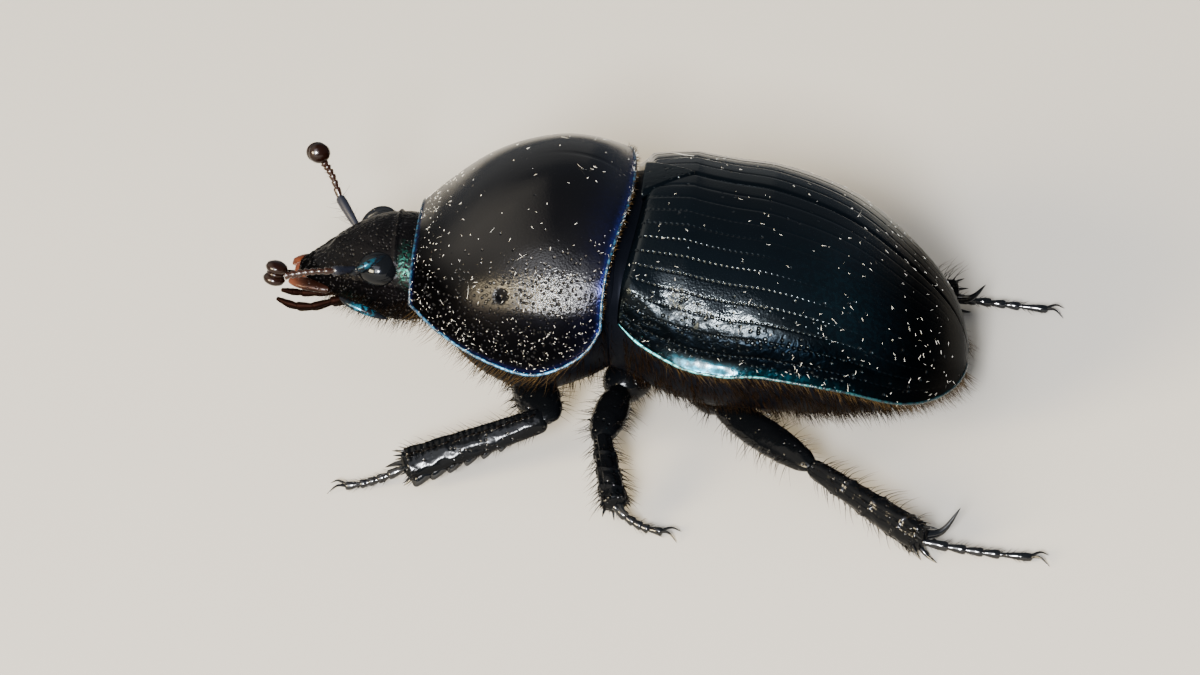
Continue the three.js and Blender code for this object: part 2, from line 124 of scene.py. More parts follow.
ARCH = 0.92  # 1 makes the cross-section of a shell an ellipse, less makes it squarer
SHIELD_EDGE = [
    (-6.1, 4.5), (-5.25, 4.06), (-4.1, 3.63), (-2.8, 3.34), (-1.9, 3.56), (-1.2, 4.05), (-0.7, 4.85)]
WING_EDGE = [
    (-0.42, 4.7), (0.2, 4.16), (1.2, 3.7), (2.4, 3.53), (3.6, 3.5), (5.6, 3.12), (7.4, 2.4), (8.86, 2.05)]
pronotum_half_width = smooth_curve([
    (-6.1, 2.76), (-5.25, 3.52), (-4.1, 4.17), (-2.6, 4.52), (-1.3, 4.38), (-0.7, 4.12)])
pronotum_edge = smooth_curve(SHIELD_EDGE)
pronotum_top = smooth_curve([
    (-6.1, 5.62), (-5.4, 6.3), (-4.3, 7.14), (-3.2, 7.62), (-2.1, 7.8), (-1.1, 7.6), (-0.2, 7.02)])
wing_edge = smooth_curve(WING_EDGE)
belly_bottom = smooth_curve([
    (-5.6, 3.1), (-4.4, 2.2), (-2.8, 1.75), (-1.2, 1.85), (-0.3, 1.75),
    (1.4, 1.3), (3.3, 1.2), (5.6, 1.2), (7.4, 1.4), (8.5, 1.75)])
WING_BASE, WING_APEX = 0.06, 8.83
WING_WIDEST, WING_HALF_WIDTH = 4.0, 4.76
WING_CREST, CREST_HEIGHT = 1.4, 7.3


def wing_half_width(x):
    if x < WING_WIDEST:
        return WING_HALF_WIDTH - 0.66 * ((WING_WIDEST - x) / 4.42) ** 2
    past = (x - WING_WIDEST) / (WING_APEX - WING_WIDEST)
    return WING_HALF_WIDTH * max(1 - past ** 2.5, 0) ** 0.45


def wing_top(x):
    if x < WING_CREST:
        return CREST_HEIGHT - 0.14 * ((WING_CREST - x) / WING_CREST) ** 2
    past = min((x - WING_CREST) / (WING_APEX - WING_CREST), 1)
    dome = (CREST_HEIGHT - wing_edge(WING_CREST)) * (1 - past ** 2.5) ** 0.5
    return wing_edge(x) + dome - 0.22 * math.sin(math.pi * past)


print("pronotum is", 2 * pronotum_half_width(-2.6), "mm wide, wing cases", 2 * WING_HALF_WIDTH, "mm")

# %% [markdown]
# ## Bending a sheet into a shell
#
# A beetle's plate is a thin curved sheet. It could be sculpted from a ball, but its edge has to follow
# an outline. So each shell starts as a flat grid, made by one operator, and a rule lays every corner of
# the grid in its place on the curved shell. The flat grid also gives the shell its unwrap for free. A
# shell then gets its wall by extrusion, drawn in towards the middle of the body.

# %% Sheets


def sheet(columns, rows, place, marks=None):
    """A grid whose corners are placed by a rule of (across, along), both from 0 to 1. Each of the marks is
    such a rule too, and gives every corner a number."""
    made = bmesh.new()
    bmesh.ops.create_grid(made, x_segments=columns, y_segments=rows, size=0.5)
    unwrap = made.loops.layers.uv.new("Unwrap")
    layers = {name: made.verts.layers.float.new(name) for name in (marks or {})}
    for face in made.faces:
        for loop in face.loops:
            loop[unwrap].uv = (loop.vert.co.x + 0.5, loop.vert.co.y + 0.5)
    for corner in made.verts:
        across, along = corner.co.x + 0.5, corner.co.y + 0.5
        x, y, z = place(across, along)
        for name, layer in layers.items():
            corner[layer] = marks[name](across, along, (x, y, z))
        corner.co = spot(x, y, z)
    return made


def even(value):
    """A mark that is the same all over."""
    return lambda across, along, place: value


def weld(made):
    """Closes seams and poles, and turns all faces outwards."""
    bmesh.ops.remove_doubles(made, verts=made.verts, dist=1e-7)
    bmesh.ops.dissolve_degenerate(made, edges=made.edges, dist=1e-8)
    bmesh.ops.recalc_face_normals(made, faces=made.faces)
    return made


def settle(made, first=0):
    """Sorts the faces from first on by their corners, because spin and extrude leave them in any order."""
    made.verts.index_update()
    made.faces.index_update()
    count = len(made.verts)

    def rank(face):
        if face.index < first:
            return face.index
        corners = [corner.index for corner in face.verts]
        return first + (min(corners) * count + max(corners)) * count + sum(corners)

    made.faces.sort(key=rank)
    return made


def thicken(made, inside, thickness):
    """Gives an open sheet a wall: it is extruded, and the new side is drawn in towards inside(place)."""
    made.faces.ensure_lookup_table()
    skins = 2 * len(made.faces)
    face = made.faces[len(made.faces) // 2]
    face.normal_update()
    middle = face.calc_center_median()
    if face.normal.dot(middle - inside(middle)) > 0:
        bmesh.ops.reverse_faces(made, faces=made.faces)
    grown = bmesh.ops.extrude_face_region(made, geom=made.faces[:])["geom"]
    for corner in grown:
        if isinstance(corner, bmesh.types.BMVert):
            inward = inside(corner.co) - corner.co
            corner.co += inward.normalized() * min(thickness * MM, inward.length * 0.8)
    bmesh.ops.recalc_face_normals(made, faces=made.faces)
    return settle(made, skins)


print("sheets can be bent, welded and given a wall")

# %% [markdown]
# ## Bars and turned forms
#
# The other forms of an insect close round themselves. Rims, jaws and thorns are bars along a bent line,
# and eyes, beads and the joints of the feet are round, as if from a lathe. A curve with a bevel would make
# a bar quickly, but it has no attributes for the finish to read. So a bar is rolled up from the same flat
# grid and welded, and a round form is an outline that one operator spins.

# %% Tubes and turned forms


def frames_along(path, count, closed=False):
    """Centres of a path, each with two crosswise ways that turn as little as possible along it."""
    centres = [Vector(path(i / count)) for i in range(count + 1)]
    result, side = [], None
    for i, centre in enumerate(centres):
        before = centres[i - 1] if i else (centres[-2] if closed else centres[0])
        after = centres[i + 1] if i < count else (centres[1] if closed else centres[-1])
        way = (after - before).normalized()
        if side is None:
            side = way.cross(Vector((0, 0, 1)))
            if side.length < 0.05:
                side = way.cross(Vector((0, 1, 0)))
        side = (side - way * side.dot(way)).normalized()
        result.append((centre, side, way.cross(side)))
    return result


def tube(path, radius, around, along, closed=False, flat=1.0, marks=None):
    """A round bar along path(share), rolled from a grid. radius(share) is 0 at the ends of an open bar."""
    ways = frames_along(path, along, closed)

    def place(across, share):
        step = round(share * along)
        centre, side, lift = ways[step % along if closed else step]
        turn = 2 * math.pi * (across % 1.0)
        size = radius(share)
        return centre + side * (size * math.cos(turn)) + lift * (size * flat * math.sin(turn))

    return weld(sheet(around, along, place, marks))


def path_through(*places):
    """A smooth path through places in millimetres, read from 0 to 1."""
    places = [Vector(p) for p in places]

    def path(share):
        run = min(max(share, 0), 1) * (len(places) - 1)
        i = min(int(run), len(places) - 2)
        t = run - i
        a, b = places[i], places[i + 1]
        before = places[i - 1] if i else a * 2 - b
        after = places[i + 2] if i + 2 < len(places) else b * 2 - a
        return 0.5 * (2 * a + (b - before) * t + (2 * before - 5 * a + 4 * b - after) * t ** 2
                      + (3 * a - before - 3 * b + after) * t ** 3)

    return path


def turned(profile, steps=16):
    """A round form: (radius, height) corners in millimetres, spun once round the Z axis."""
    made = bmesh.new()
    corners = [made.verts.new((radius * MM, 0, height * MM)) for radius, height in profile]
    edges = [made.edges.new(pair) for pair in zip(corners, corners[1:])]
    bmesh.ops.spin(made, geom=corners + edges, cent=(0, 0, 0), axis=(0, 0, 1), angle=2 * math.pi,
                   steps=steps, use_merge=True)
    return settle(weld(made))


def stand(made, at, way, broad=(0, 0, 1), scale=(1, 1, 1)):
    """Moves a form made on the Z axis to a place, its Z axis along way and its X axis near broad."""
    up = Vector(way).normalized()
    side = Vector(broad) - up * up.dot(Vector(broad))
    side = side.normalized() if side.length > 1e-4 else up.orthogonal().normalized()
    turn = Matrix((side, up.cross(side), up)).transposed().to_4x4()
    matrix = Matrix.Translation(spot(*at)) @ turn @ Matrix.Diagonal((*scale, 1))
    bmesh.ops.transform(made, matrix=matrix, verts=made.verts)
    return made


print("tubes and turned forms are ready")

# %% [markdown]
# ## From a form to a piece
#
# Forms made of many small bars, such as a foot, are gathered into one mesh, so that the beetle stays a
# short list of pieces. Each piece then takes a name, a finish and its place on the body, and says which
# plain solid it stands for. One function does this for every piece, so that none is forgotten.

# %% Gathering and keeping pieces


def gather(parts):
    """Joins several forms into one."""
    whole = bmesh.new()
    for part in parts:
        carrier = bpy.data.meshes.new("carrier")
        part.to_mesh(carrier)
        part.free()
        whole.from_mesh(carrier)
        bpy.data.meshes.remove(carrier)
    return whole


def add_object(name, data):
    """Puts a mesh, lamp or camera in the scene."""
    thing = bpy.data.objects.new(name, data)
    bpy.context.scene.collection.objects.link(thing)
    return thing


def keep(name, made, material, stands_for=()):
    """Turns a form into a finished piece that rides on the beetle."""
    mesh = bpy.data.meshes.new(name)
    made.to_mesh(mesh)
    made.free()
    mesh.shade_smooth()
    mesh.materials.append(material)
    piece = add_object(name, mesh)
    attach(piece, "root")
    if stands_for:
        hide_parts(*stands_for)
    print(name, "-", len(mesh.polygons), "faces")
    return piece


print("pieces can be kept")

# %% [markdown]
# ## Colours and nodes
#
# Colours are easiest to read as the hex codes that a paint tin would carry, but Blender works in linear
# light, so one function turns them over. A finish is a tree of nodes. They could be laid out by hand in
# the editor, but a script can be read and repeated, so one small function adds a node and joins it up.

# %% Colours and nodes


def colour(code):
    """An sRGB hex colour as the linear values that Blender works in."""
    parts = [int(code[i:i + 2], 16) / 255 for i in (1, 3, 5)]
    return (*[c / 12.92 if c <= 0.04045 else ((c + 0.055) / 1.055) ** 2.4 for c in parts], 1.0)


def add_node(tree, kind, inputs=(), **settings):
    """Adds a node; an input is given a number or a colour, or is joined to another node's output."""
    made = tree.nodes.new(kind)
    for name, value in settings.items():
        setattr(made, name, value)
    for name, value in dict(inputs).items():
        if isinstance(value, bpy.types.NodeSocket):
            tree.links.new(value, made.inputs[name])
        else:
            made.inputs[name].default_value = value
    return made


def blank_material(name):
    """A new material with an empty tree, and the place on the beetle that its patterns read."""
    made = bpy.data.materials.new(name)
    made.use_nodes = True
    made.node_tree.nodes.clear()
    place = add_node(made.node_tree, "ShaderNodeTexCoord").outputs["Object"]
    return made, made.node_tree, place


print("black chitin in linear light:", [round(value, 5) for value in colour("#030405")[:3]])

# %% [markdown]
# ## Pits and punctures
#
# Fine pits, each a twentieth of a millimetre across, break the shine on the flanks, and a row of round
# punctures runs in each groove of the wing cases. There are thousands, so they are bump in the finish
# rather than geometry. Cells of a Voronoi pattern are the places where a pit may lie, and a number on the
# skin, "pitted", is the share of cells that do hold one. The rows follow another number, "lane", which
# counts the grooves from the seam outwards, and "dotted" fades them out.

# %% Pits and punctures


def pit_height(tree, place, many, spacing_mm, steep):
    """How deep the skin lies in its pits, from 0 to 1, and up to steep where the pits stand close."""
    cells = add_node(tree, "ShaderNodeTexVoronoi", {"Vector": place, "Scale": 1 / (spacing_mm * MM)})
    lot = add_node(tree, "ShaderNodeSeparateColor", {"Color": cells.outputs["Color"]})
    chosen = add_node(tree, "ShaderNodeMath", {0: lot.outputs["Red"], 1: many}, operation="LESS_THAN")
    bowl = add_node(tree, "ShaderNodeMapRange", {
        "Value": cells.outputs["Distance"], "From Min": 0.1, "From Max": 0.42, "To Min": 1.0, "To Max": 0.0},
        interpolation_type="SMOOTHSTEP")
    pit = add_node(tree, "ShaderNodeMath", {0: bowl.outputs["Result"], 1: chosen.outputs["Value"]},
                   operation="MULTIPLY")
    deepen = add_node(tree, "ShaderNodeMapRange", {"Value": many, "To Min": 1.0, "To Max": steep})
    return add_node(tree, "ShaderNodeMath", {0: pit.outputs["Value"], 1: deepen.outputs["Result"]},
                    operation="MULTIPLY").outputs["Value"]


def puncture_height(tree, place, spacing_mm):
    """The same for the rows of punctures, each row a little out of step with the one beside it."""
    lane = add_node(tree, "ShaderNodeAttribute", attribute_name="lane").outputs["Fac"]
    line = add_node(tree, "ShaderNodeMath", {0: lane}, operation="ROUND").outputs["Value"]
    off = add_node(tree, "ShaderNodeMath", {0: lane, 1: line}, operation="SUBTRACT").outputs["Value"]
    run = add_node(tree, "ShaderNodeSeparateXYZ", {"Vector": place}).outputs["X"]
    run = add_node(tree, "ShaderNodeMath", {0: run, 1: 1 / (spacing_mm * MM)}, operation="MULTIPLY")
    run = add_node(tree, "ShaderNodeMath", {0: line, 1: 0.37, 2: run.outputs["Value"]},
                   operation="MULTIPLY_ADD")
    run = add_node(tree, "ShaderNodeMath", {0: run.outputs["Value"]}, operation="FRACT")
    run = add_node(tree, "ShaderNodeMath", {0: run.outputs["Value"], 1: 0.5}, operation="SUBTRACT")
    flat = add_node(tree, "ShaderNodeCombineXYZ", {"X": run.outputs["Value"], "Y": off}).outputs["Vector"]
    flat = add_node(tree, "ShaderNodeVectorMath", {0: flat, 1: (spacing_mm, 0.55, 0)}, operation="MULTIPLY")
    reach = add_node(tree, "ShaderNodeVectorMath", {0: flat.outputs["Vector"]}, operation="LENGTH")
    dot = add_node(tree, "ShaderNodeMapRange", {
        "Value": reach.outputs["Value"], "From Min": 0.015, "From Max": 0.065, "To Min": 1.0, "To Max": 0.0},
        interpolation_type="SMOOTHSTEP")
    dotted = add_node(tree, "ShaderNodeAttribute", attribute_name="dotted").outputs["Fac"]
    return add_node(tree, "ShaderNodeMath", {0: dot.outputs["Result"], 1: dotted},
                    operation="MULTIPLY").outputs["Value"]


print("patterns of pits and punctures are ready")

# %% [markdown]
# ## The finish of chitin
#
# The real shell is black chitin: hard as horn, smooth, and with a thin clear layer on top that gives the
# wet shine. Under that layer lie even thinner ones that throw back blue and green, most of all at the
# rolled edges. A thin-film shader could work out the colours, but it is lost when the model leaves
# Blender. So each piece carries two more numbers on its own skin, and one finish reads them all:
#
# - "tint_and_glint" says where the blue or green shows. It breaks up into flecks, as the real colour does.
#   On some rims and ridges it also paints glints: bright spots of that colour where light falls.
# - "grain_and_shade" brings out a fine grain that keeps its shine. Below zero it paints shade.
#
# Some light is lost in pitted skin, and unless the grain mark holds it off, the finish paints shade there
# too. Black chitin seen at a glancing angle would mirror the pale floor. The painted shade makes the
# surface slightly metallic with a nearly black mirror colour, which is the one way to keep such places
# dark from every side, and it turns the shine dark grey. mirror_shade paints the same shade evenly over a
# whole piece. IOR 1.56 is that of chitin.

# %% Chitin


def chitin(name, dark, tint_and_glint, rough=(0.2, 0.34), metal=0.6, pit_mm=0.15, pit_depth_mm=0.03, steep=1.0,
           grain_mm=0.05, grain_depth_mm=0.006, crease_mm=0.3, crease_depth_mm=0.0, coat=0.0, gloss=0.3,
           patch=0.0, patch_mm=0.13, haze=0.0, row_mm=0.0, glint="#ffffff", mirror_shade=0.0):
    """Black chitin. dark holds the two tones of its ground, tint_and_glint is the colour of its blue places
    and painted glints, and patch says how far they break up into flecks. Pits lie pit_mm apart, and row_mm
    apart in the grooves. mirror_shade is painted shade over the whole piece."""
    made, tree, place = blank_material(name)
    marked = add_node(tree, "ShaderNodeAttribute", attribute_name="tint_and_glint").outputs["Fac"]
    flecks = add_node(tree, "ShaderNodeTexNoise", {
        "Vector": place, "Scale": 1 / (patch_mm * MM), "Detail": 2.0})
    broken = add_node(tree, "ShaderNodeMapRange", {
        "Value": flecks.outputs["Fac"], "From Min": 0.46, "From Max": 0.58,
        "To Min": 1 - patch, "To Max": 1.0})
    blue = add_node(tree, "ShaderNodeMath", {0: marked, 1: broken.outputs["Result"]},
                    operation="MULTIPLY").outputs["Value"]
    many = add_node(tree, "ShaderNodeAttribute", attribute_name="pitted").outputs["Fac"]
    drift = add_node(tree, "ShaderNodeTexNoise", {
        "Vector": place, "Scale": 1 / (1.6 * MM), "Detail": 3.0}).outputs["Fac"]
    base = add_node(tree, "ShaderNodeMix", {"Factor": drift, "A": colour(dark[0]), "B": colour(dark[1])},
                    data_type="RGBA")
    shade = add_node(tree, "ShaderNodeMix", {"Factor": blue, "A": base.outputs["Result"], "B": colour(tint_and_glint)},
                     data_type="RGBA")
    crease = add_node(tree, "ShaderNodeTexNoise", {
        "Vector": place, "Scale": 1 / (crease_mm * MM), "Detail": 2.0, "Distortion": 0.6})
    folds = add_node(tree, "ShaderNodeMath", {0: crease.outputs["Fac"], 1: many}, operation="MULTIPLY")
    folded = add_node(tree, "ShaderNodeBump", {
        "Height": folds.outputs["Value"], "Distance": crease_depth_mm * MM})
    pit = pit_height(tree, place, many, pit_mm, steep)
    if row_mm:
        pit = add_node(tree, "ShaderNodeMath", {0: pit, 1: puncture_height(tree, place, row_mm)},
                       operation="MAXIMUM").outputs["Value"]
    sunk = add_node(tree, "ShaderNodeBump", {
        "Height": pit, "Distance": pit_depth_mm * MM, "Normal": folded.outputs["Normal"]}, invert=True)
    grain = add_node(tree, "ShaderNodeTexNoise", {
        "Vector": place, "Scale": 1 / (grain_mm * MM), "Detail": 2.0})
    grain_and_shade = add_node(tree, "ShaderNodeAttribute", attribute_name="grain_and_shade").outputs["Fac"]
    frost = add_node(tree, "ShaderNodeMapRange", {"Value": grain_and_shade, "To Min": 0.12, "To Max": 1.0})
    grains = add_node(tree, "ShaderNodeMath", {0: grain.outputs["Fac"], 1: frost.outputs["Result"]},
                      operation="MULTIPLY")
    skin = add_node(tree, "ShaderNodeBump", {
        "Height": grains.outputs["Value"], "Distance": grain_depth_mm * MM, "Normal": sunk.outputs["Normal"]})
    # Painted shade where pits stand thicker than the grain mark; inside each pit it is eased, so the pits
    # catch light.
    pits_and_shade = add_node(tree, "ShaderNodeMath", {0: many, 1: grain_and_shade}, operation="SUBTRACT", use_clamp=True)
    lit = add_node(tree, "ShaderNodeMapRange", {"Value": pit, "To Min": 1.0, "To Max": 0.25})
    pits_and_shade = add_node(tree, "ShaderNodeMath", {0: pits_and_shade.outputs["Value"], 1: lit.outputs["Result"]},
                       operation="MULTIPLY").outputs["Value"]
    smear = add_node(tree, "ShaderNodeMapRange", {
        "Value": drift, "From Min": 0.3, "From Max": 0.7, "To Min": rough[0], "To Max": rough[1]})
    dull = add_node(tree, "ShaderNodeMath", {0: grain_and_shade, 1: haze, 2: smear.outputs["Result"]},
                    operation="MULTIPLY_ADD")
    dull = add_node(tree, "ShaderNodeMath", {0: pits_and_shade, 1: 0.1, 2: dull.outputs["Value"]},
                    operation="MULTIPLY_ADD")
    # Painted shade: the shine turns dark grey, and the skin turns metallic with its nearly black colour as
    # mirror.
    shine = add_node(tree, "ShaderNodeMix", {"Factor": pits_and_shade, "A": colour(glint), "B": colour("#1c1e20")},
                     data_type="RGBA")
    glow = add_node(tree, "ShaderNodeMath", {0: blue, 1: metal}, operation="MULTIPLY")
    shaded_mirror = add_node(tree, "ShaderNodeMath", {0: pits_and_shade, 1: 0.9, 2: mirror_shade}, operation="MULTIPLY_ADD",
                     use_clamp=True)
    glow = add_node(tree, "ShaderNodeMath", {0: glow.outputs["Value"], 1: shaded_mirror.outputs["Value"]},
                    operation="MAXIMUM")
    shader = add_node(tree, "ShaderNodeBsdfPrincipled", {
        "Base Color": shade.outputs["Result"], "Metallic": glow.outputs["Value"],
        "Roughness": dull.outputs["Value"], "IOR": 1.56, "Specular IOR Level": gloss,
        "Specular Tint": shine.outputs["Result"], "Coat Weight": coat, "Coat Roughness": 0.05,
        "Coat IOR": 1.5, "Normal": skin.outputs["Normal"]})
    add_node(tree, "ShaderNodeOutputMaterial", {"Surface": shader.outputs["BSDF"]})
    return made


print("black chitin is ready")

# %% [markdown]
# ## The pronotum
#
# The neck shield is one high dome. Its front edge is nearly straight, its sides swing out and down in a
# bow, and a thin bead runs all the way round. Each flank has one deep little pit, and on the midline
# behind the top runs a faint furrow. A subdivided ball would round off the corners, so the sheet
# is laid with its border on the true outline. The pit and the furrow are pressed into the sheet itself.
# Its chitin is smoother than elsewhere, blue-violet at the rims, and the bead round it is bluer still,
# with a painted glint halfway along each side. A fine grain sparkles on the flank behind the pit, and the
# pitted lower flanks and the front edge are given painted shade.

# %% Pronotum
FLANK_PIT, PIT_SIZE = (-3.52, 3.94, 5.35), 0.13
shield_finish = chitin("Chitin_neck_shield", ("#020203", "#040405"), "#1f2a78", rough=(0.16, 0.22), metal=0.5,
                       pit_mm=0.12, pit_depth_mm=0.022, steep=1.4, grain_mm=0.055, grain_depth_mm=0.022,
                       patch=0.3, haze=-0.07, gloss=0.2)
rim_finish = chitin("Chitin_blue_rim", ("#020308", "#040a16"), "#3a86b4", rough=(0.2, 0.3), metal=0.8,
                    pit_depth_mm=0.004, grain_mm=0.09, grain_depth_mm=0.03, patch=0.9)


def pronotum_place(across, along):
    angle = math.pi * (1 - across)
    c, s = math.cos(angle), max(math.sin(angle), 0.0)
    start, end = -6.06 - 0.02 * c * c, -0.24 - 0.62 * c * c
    x = start + (end - start) * along
    edge, top = pronotum_edge(x), pronotum_top(x)
    y = pronotum_half_width(x) * signed_power(c, ARCH) + math.copysign(0.05 * hump(s, 0.04), c)
    z = edge + (top - edge) * s ** ARCH
    z -= 0.02 * hump(y, 0.06) * hump(x + 1.4, 0.8)
    deep = PIT_SIZE * hump(math.dist((x, abs(y), z), FLANK_PIT), PIT_SIZE)
    out = Vector((0.05, y / 4.5, (z - 4.0) / 3.6)).normalized()
    return x - out.x * deep, y - out.y * deep, z - out.z * deep


def pronotum_tint(across, along, place):
    rear = 0.22 * hump(1 - along, 0.02) + 0.02 * hump(1 - along, 0.12)
    return min(1, rear + 0.22 * hump(along, 0.01) + 0.16 * hump(min(across, 1 - across), 0.005))


def pronotum_pits(across, along, place):
    low = 1 - min(across, 1 - across) * 2
    flank = ramp(low, 0.46, 0.34)
    spots = 0.45 * max(pronotum_grain_and_shade(across, along, place), 0)
    many = 0.012 + spots + 0.98 * flank ** 1.4
    return min(1, many + 0.7 * hump(along, 0.16) * low + 0.4 * hump(1 - along, 0.05))


# Fine grain on the flank behind the pit; below zero along the front edge, as painted shade.
def pronotum_grain_and_shade(across, along, place):
    x, z = place[0], place[2]
    return hump(x + 2.3, 1.3) * ramp(z, 4.85, 0.25) * hump(z - 5.4, 0.85) - 0.5 * hump(along, 0.18)


def pronotum_border(share):
    """The border of the pronotum as a closed path: front, right side, rear, left side."""
    run = (share % 1.0) * 4
    side, t = int(run) % 4, run - int(run)
    return pronotum_place(*[(t, 0.0), (1.0, t), (1.0 - t, 1.0), (0.0, 1.0 - t)][side])


# Painted glint: the bead is brighter halfway along each side.
def bead_tint_and_glint(across, share, place):
    return 0.12 + 0.6 * hump(share % 0.5 - 0.37, 0.08)


shield = sheet(220, 130, pronotum_place, {
    "tint_and_glint": pronotum_tint, "pitted": pronotum_pits, "grain_and_shade": pronotum_grain_and_shade})
thicken(shield, lambda place: spot(-3.2, 0, 4.2), 0.3)
pronotum = keep("pronotum_cuticle", shield, shield_finish, ["pronotum"])
bead = tube(pronotum_border, lambda share: 0.04, 8, 420, closed=True,
            marks={"tint_and_glint": bead_tint_and_glint, "grain_and_shade": even(1.0)})
keep("pronotum_rim", bead, rim_finish)

# %% [markdown]
# ## The wing cases
#
# Each wing case is a grooved lid. Eleven fine grooves run from its base to its tip, 7.4 degrees apart
# round the dome, each with a row of punctures. Down the outer edge runs a gutter with a bead, and a
# smooth bump marks the shoulder. The grooves could be drawn with bump, but they catch light along their
# whole length, so they are pressed into the sheet. Its columns are crowded together where the grooves
# are, which keeps the count of faces down.

# %% The form of a wing case
GROOVE = math.radians(7.4)  # from one groove to the next, round the dome
GROOVES = 11
FOLD = 0.955  # share of the sheet's width above the outer edge; the rest turns under it
WIDE_GUTTER = 1.95  # how far behind the joint the gutter of the outer edge is widest


def wing_angle(across):
    """Crowds the columns at the grooves; the angle runs from 90 degrees at the seam to 0 at the edge."""
    share = min(across / FOLD, 1.0)
    lanes = math.pi / 2 / GROOVE
    crowded = share - 0.62 * math.sin(2 * math.pi * lanes * share) / (2 * math.pi * lanes)
    return math.pi / 2 * (1 - min(crowded, 1.0))


def wing_ends(x):
    """1 where the grooves run, fading to 0 at the base and at the tip of a wing case."""
    return ramp(x, -0.3, 0.5) * ramp(WING_APEX - 0.25 - x, 0, 1.2)


def wing_lane(across):
    """Counts the grooves from the seam outwards."""
    return (math.pi / 2 - wing_angle(across)) / GROOVE


def wing_place(side):
    def place(across, along):
        angle = wing_angle(across)
        c, s = math.cos(angle), max(math.sin(angle), 0.0)
        front = WING_BASE - 0.48 * c * c
        x = front + (WING_APEX - front) * math.sin(math.pi / 2 * along)
        edge, top, half = wing_edge(x), wing_top(x), wing_half_width(x)
        lane = wing_lane(across)
        nearest = min(max(round(lane), 1), GROOVES)
        off = (lane - nearest) * GROOVE * half
        flank = ramp(lane, 7.3, 1.5)
        deep = (0.015 - 0.009 * min(lane / 5, 1)) * hump(off, 0.036) * wing_ends(x)
        deep += 0.3 * hump(x - front, 0.13) * s
        ripple = noise.noise(Vector((x * 1.6, side * 7 + lane * 0.9, 3.1)))
        ripple += 0.4 * noise.noise(Vector((x * 5, side * 3 + lane * 2.6, 8.4)))
        deep += 0.04 * ripple * flank * hump(x - 1.4, 2.0)
        seam = 0.05 * hump(lane * GROOVE * half, 0.05)
        grow = 0.14 * hump(math.hypot(x, (lane - 8.6) * 0.55), 0.55) - deep - seam
        grow -= 0.045 * hump(math.hypot(x - 0.85, (lane - 8.5) * 0.45), 0.45)
        flare = 0.01 + 0.13 * hump((x - WIDE_GUTTER) ** 2, 0.75)
        gutter = flare * hump(s, 0.045) - 0.02 * hump(s - 0.13, 0.07)
        y = (half + grow) * c ** ARCH + gutter + 0.012 * hump(lane, 0.04)
        z = edge + (top - edge + grow) * s ** ARCH
        if across > FOLD:
            under = (across - FOLD) / (1 - FOLD)
            y, z = y - 0.45 * under * min(half / 2, 1), z - 0.16 * math.sin(under * math.pi / 2)
        return x, side * max(y, 0.012), z
    return place


print("grooves lie", round(GROOVE * WING_HALF_WIDTH, 2), "mm apart")

# %% [markdown]
# ## The skin of the wing cases
#
# Near the shoulder the gutter is widest, and there its blue-green is brightened as a painted reflection;
# the bead of the hem carries a painted glint near the front. The flank below the shoulder sparkles with
# fine grain. The sides are pitted, and they, the top by the seam and the tip are given painted shade,
# which keeps them nearly black. These places could be painted by hand on a texture. As rules of the place
# on the shell they stay sharp at any size, and both wing cases share them.

# %% Wing cases
wing_finish = chitin("Chitin_wing_case", ("#010203", "#020407"), "#1d7f9c", rough=(0.14, 0.2), metal=0.8,
                     pit_mm=0.16, pit_depth_mm=0.03, steep=1.4, grain_mm=0.06, grain_depth_mm=0.018,
                     crease_mm=0.22, crease_depth_mm=0.03, patch=0.7, haze=-0.04, gloss=0.2, row_mm=0.15,
                     glint="#e4f3fb")
hem_finish = chitin("Chitin_green_rim", ("#020306", "#030a10"), "#4bb4bc", rough=(0.2, 0.3), metal=0.8,
                    pit_depth_mm=0.004, grain_mm=0.09, grain_depth_mm=0.03, patch=0.9)


# The gutter's faint blue-green is the chitin's own colour; the bright patch where it is widest is a painted
# reflection.
def wing_tint_and_glint(across, along, place):
    x = place[0]
    low = ramp(across / FOLD, 0.945, 0.02)
    bright = 0.52 * hump((x - WIDE_GUTTER) ** 2, 0.62) + 0.06 * hump(x - 3.8, 1.6)
    return min(1, low * bright + 0.006 * hump(x - 6.3, 1.6) * hump(across - 0.5, 0.4))


def wing_pits(across, along, place):
    flank = ramp(across / FOLD, 0.6, 0.25)
    smooth = ramp(across / FOLD, 0.93, 0.02) * hump((place[0] - WIDE_GUTTER) ** 2, 1.0)
    return min(1, 0.04 + 0.85 * flank * hump(max(place[0] - 3.0, 0), 3.5)) * (1 - smooth)


# Fine grain where the flank sparkles below the shoulder; below zero, painted shade at the tip, on the low
# flank and by the seam.
def wing_grain_and_shade(across, along, place):
    x, lane = place[0], wing_lane(across)
    rear = 0.9 * ramp(x, 5.4, 2.0)
    low = 0.7 * (ramp(lane, 8.5, 2) * ramp(x, 3.0, 2.0))
    top = 0.3 * hump(lane, 2.2) * ramp(x, 1.0, 1.5)
    return hump(x - 1.7, 1.6) * hump(lane - 7.9, 1.35) - max(rear, low, top)


def wing_dots(across, along, place):
    lane = wing_lane(across)
    fade = hump(max(place[0] - 0.8, 0), 1.2 + 0.4 * lane)
    return wing_ends(place[0]) * ramp(lane, 1.5, 5) * fade * (lane < GROOVES + 0.4)


def wing_lanes(across, along, place):
    return wing_lane(across)


def wing_middle(side):
    """The line that the wall of a wing case is drawn in towards."""
    return lambda place: Vector((min(place.x, spot(6.5, 0, 0).x), spot(0, side * 0.6, 0).y, 3.6 * MM))


# Painted glint: the bead of the hem is bright near the front.
def hem_tint_and_glint(across, share, place):
    return 0.03 + 0.75 * hump(share, 0.24)


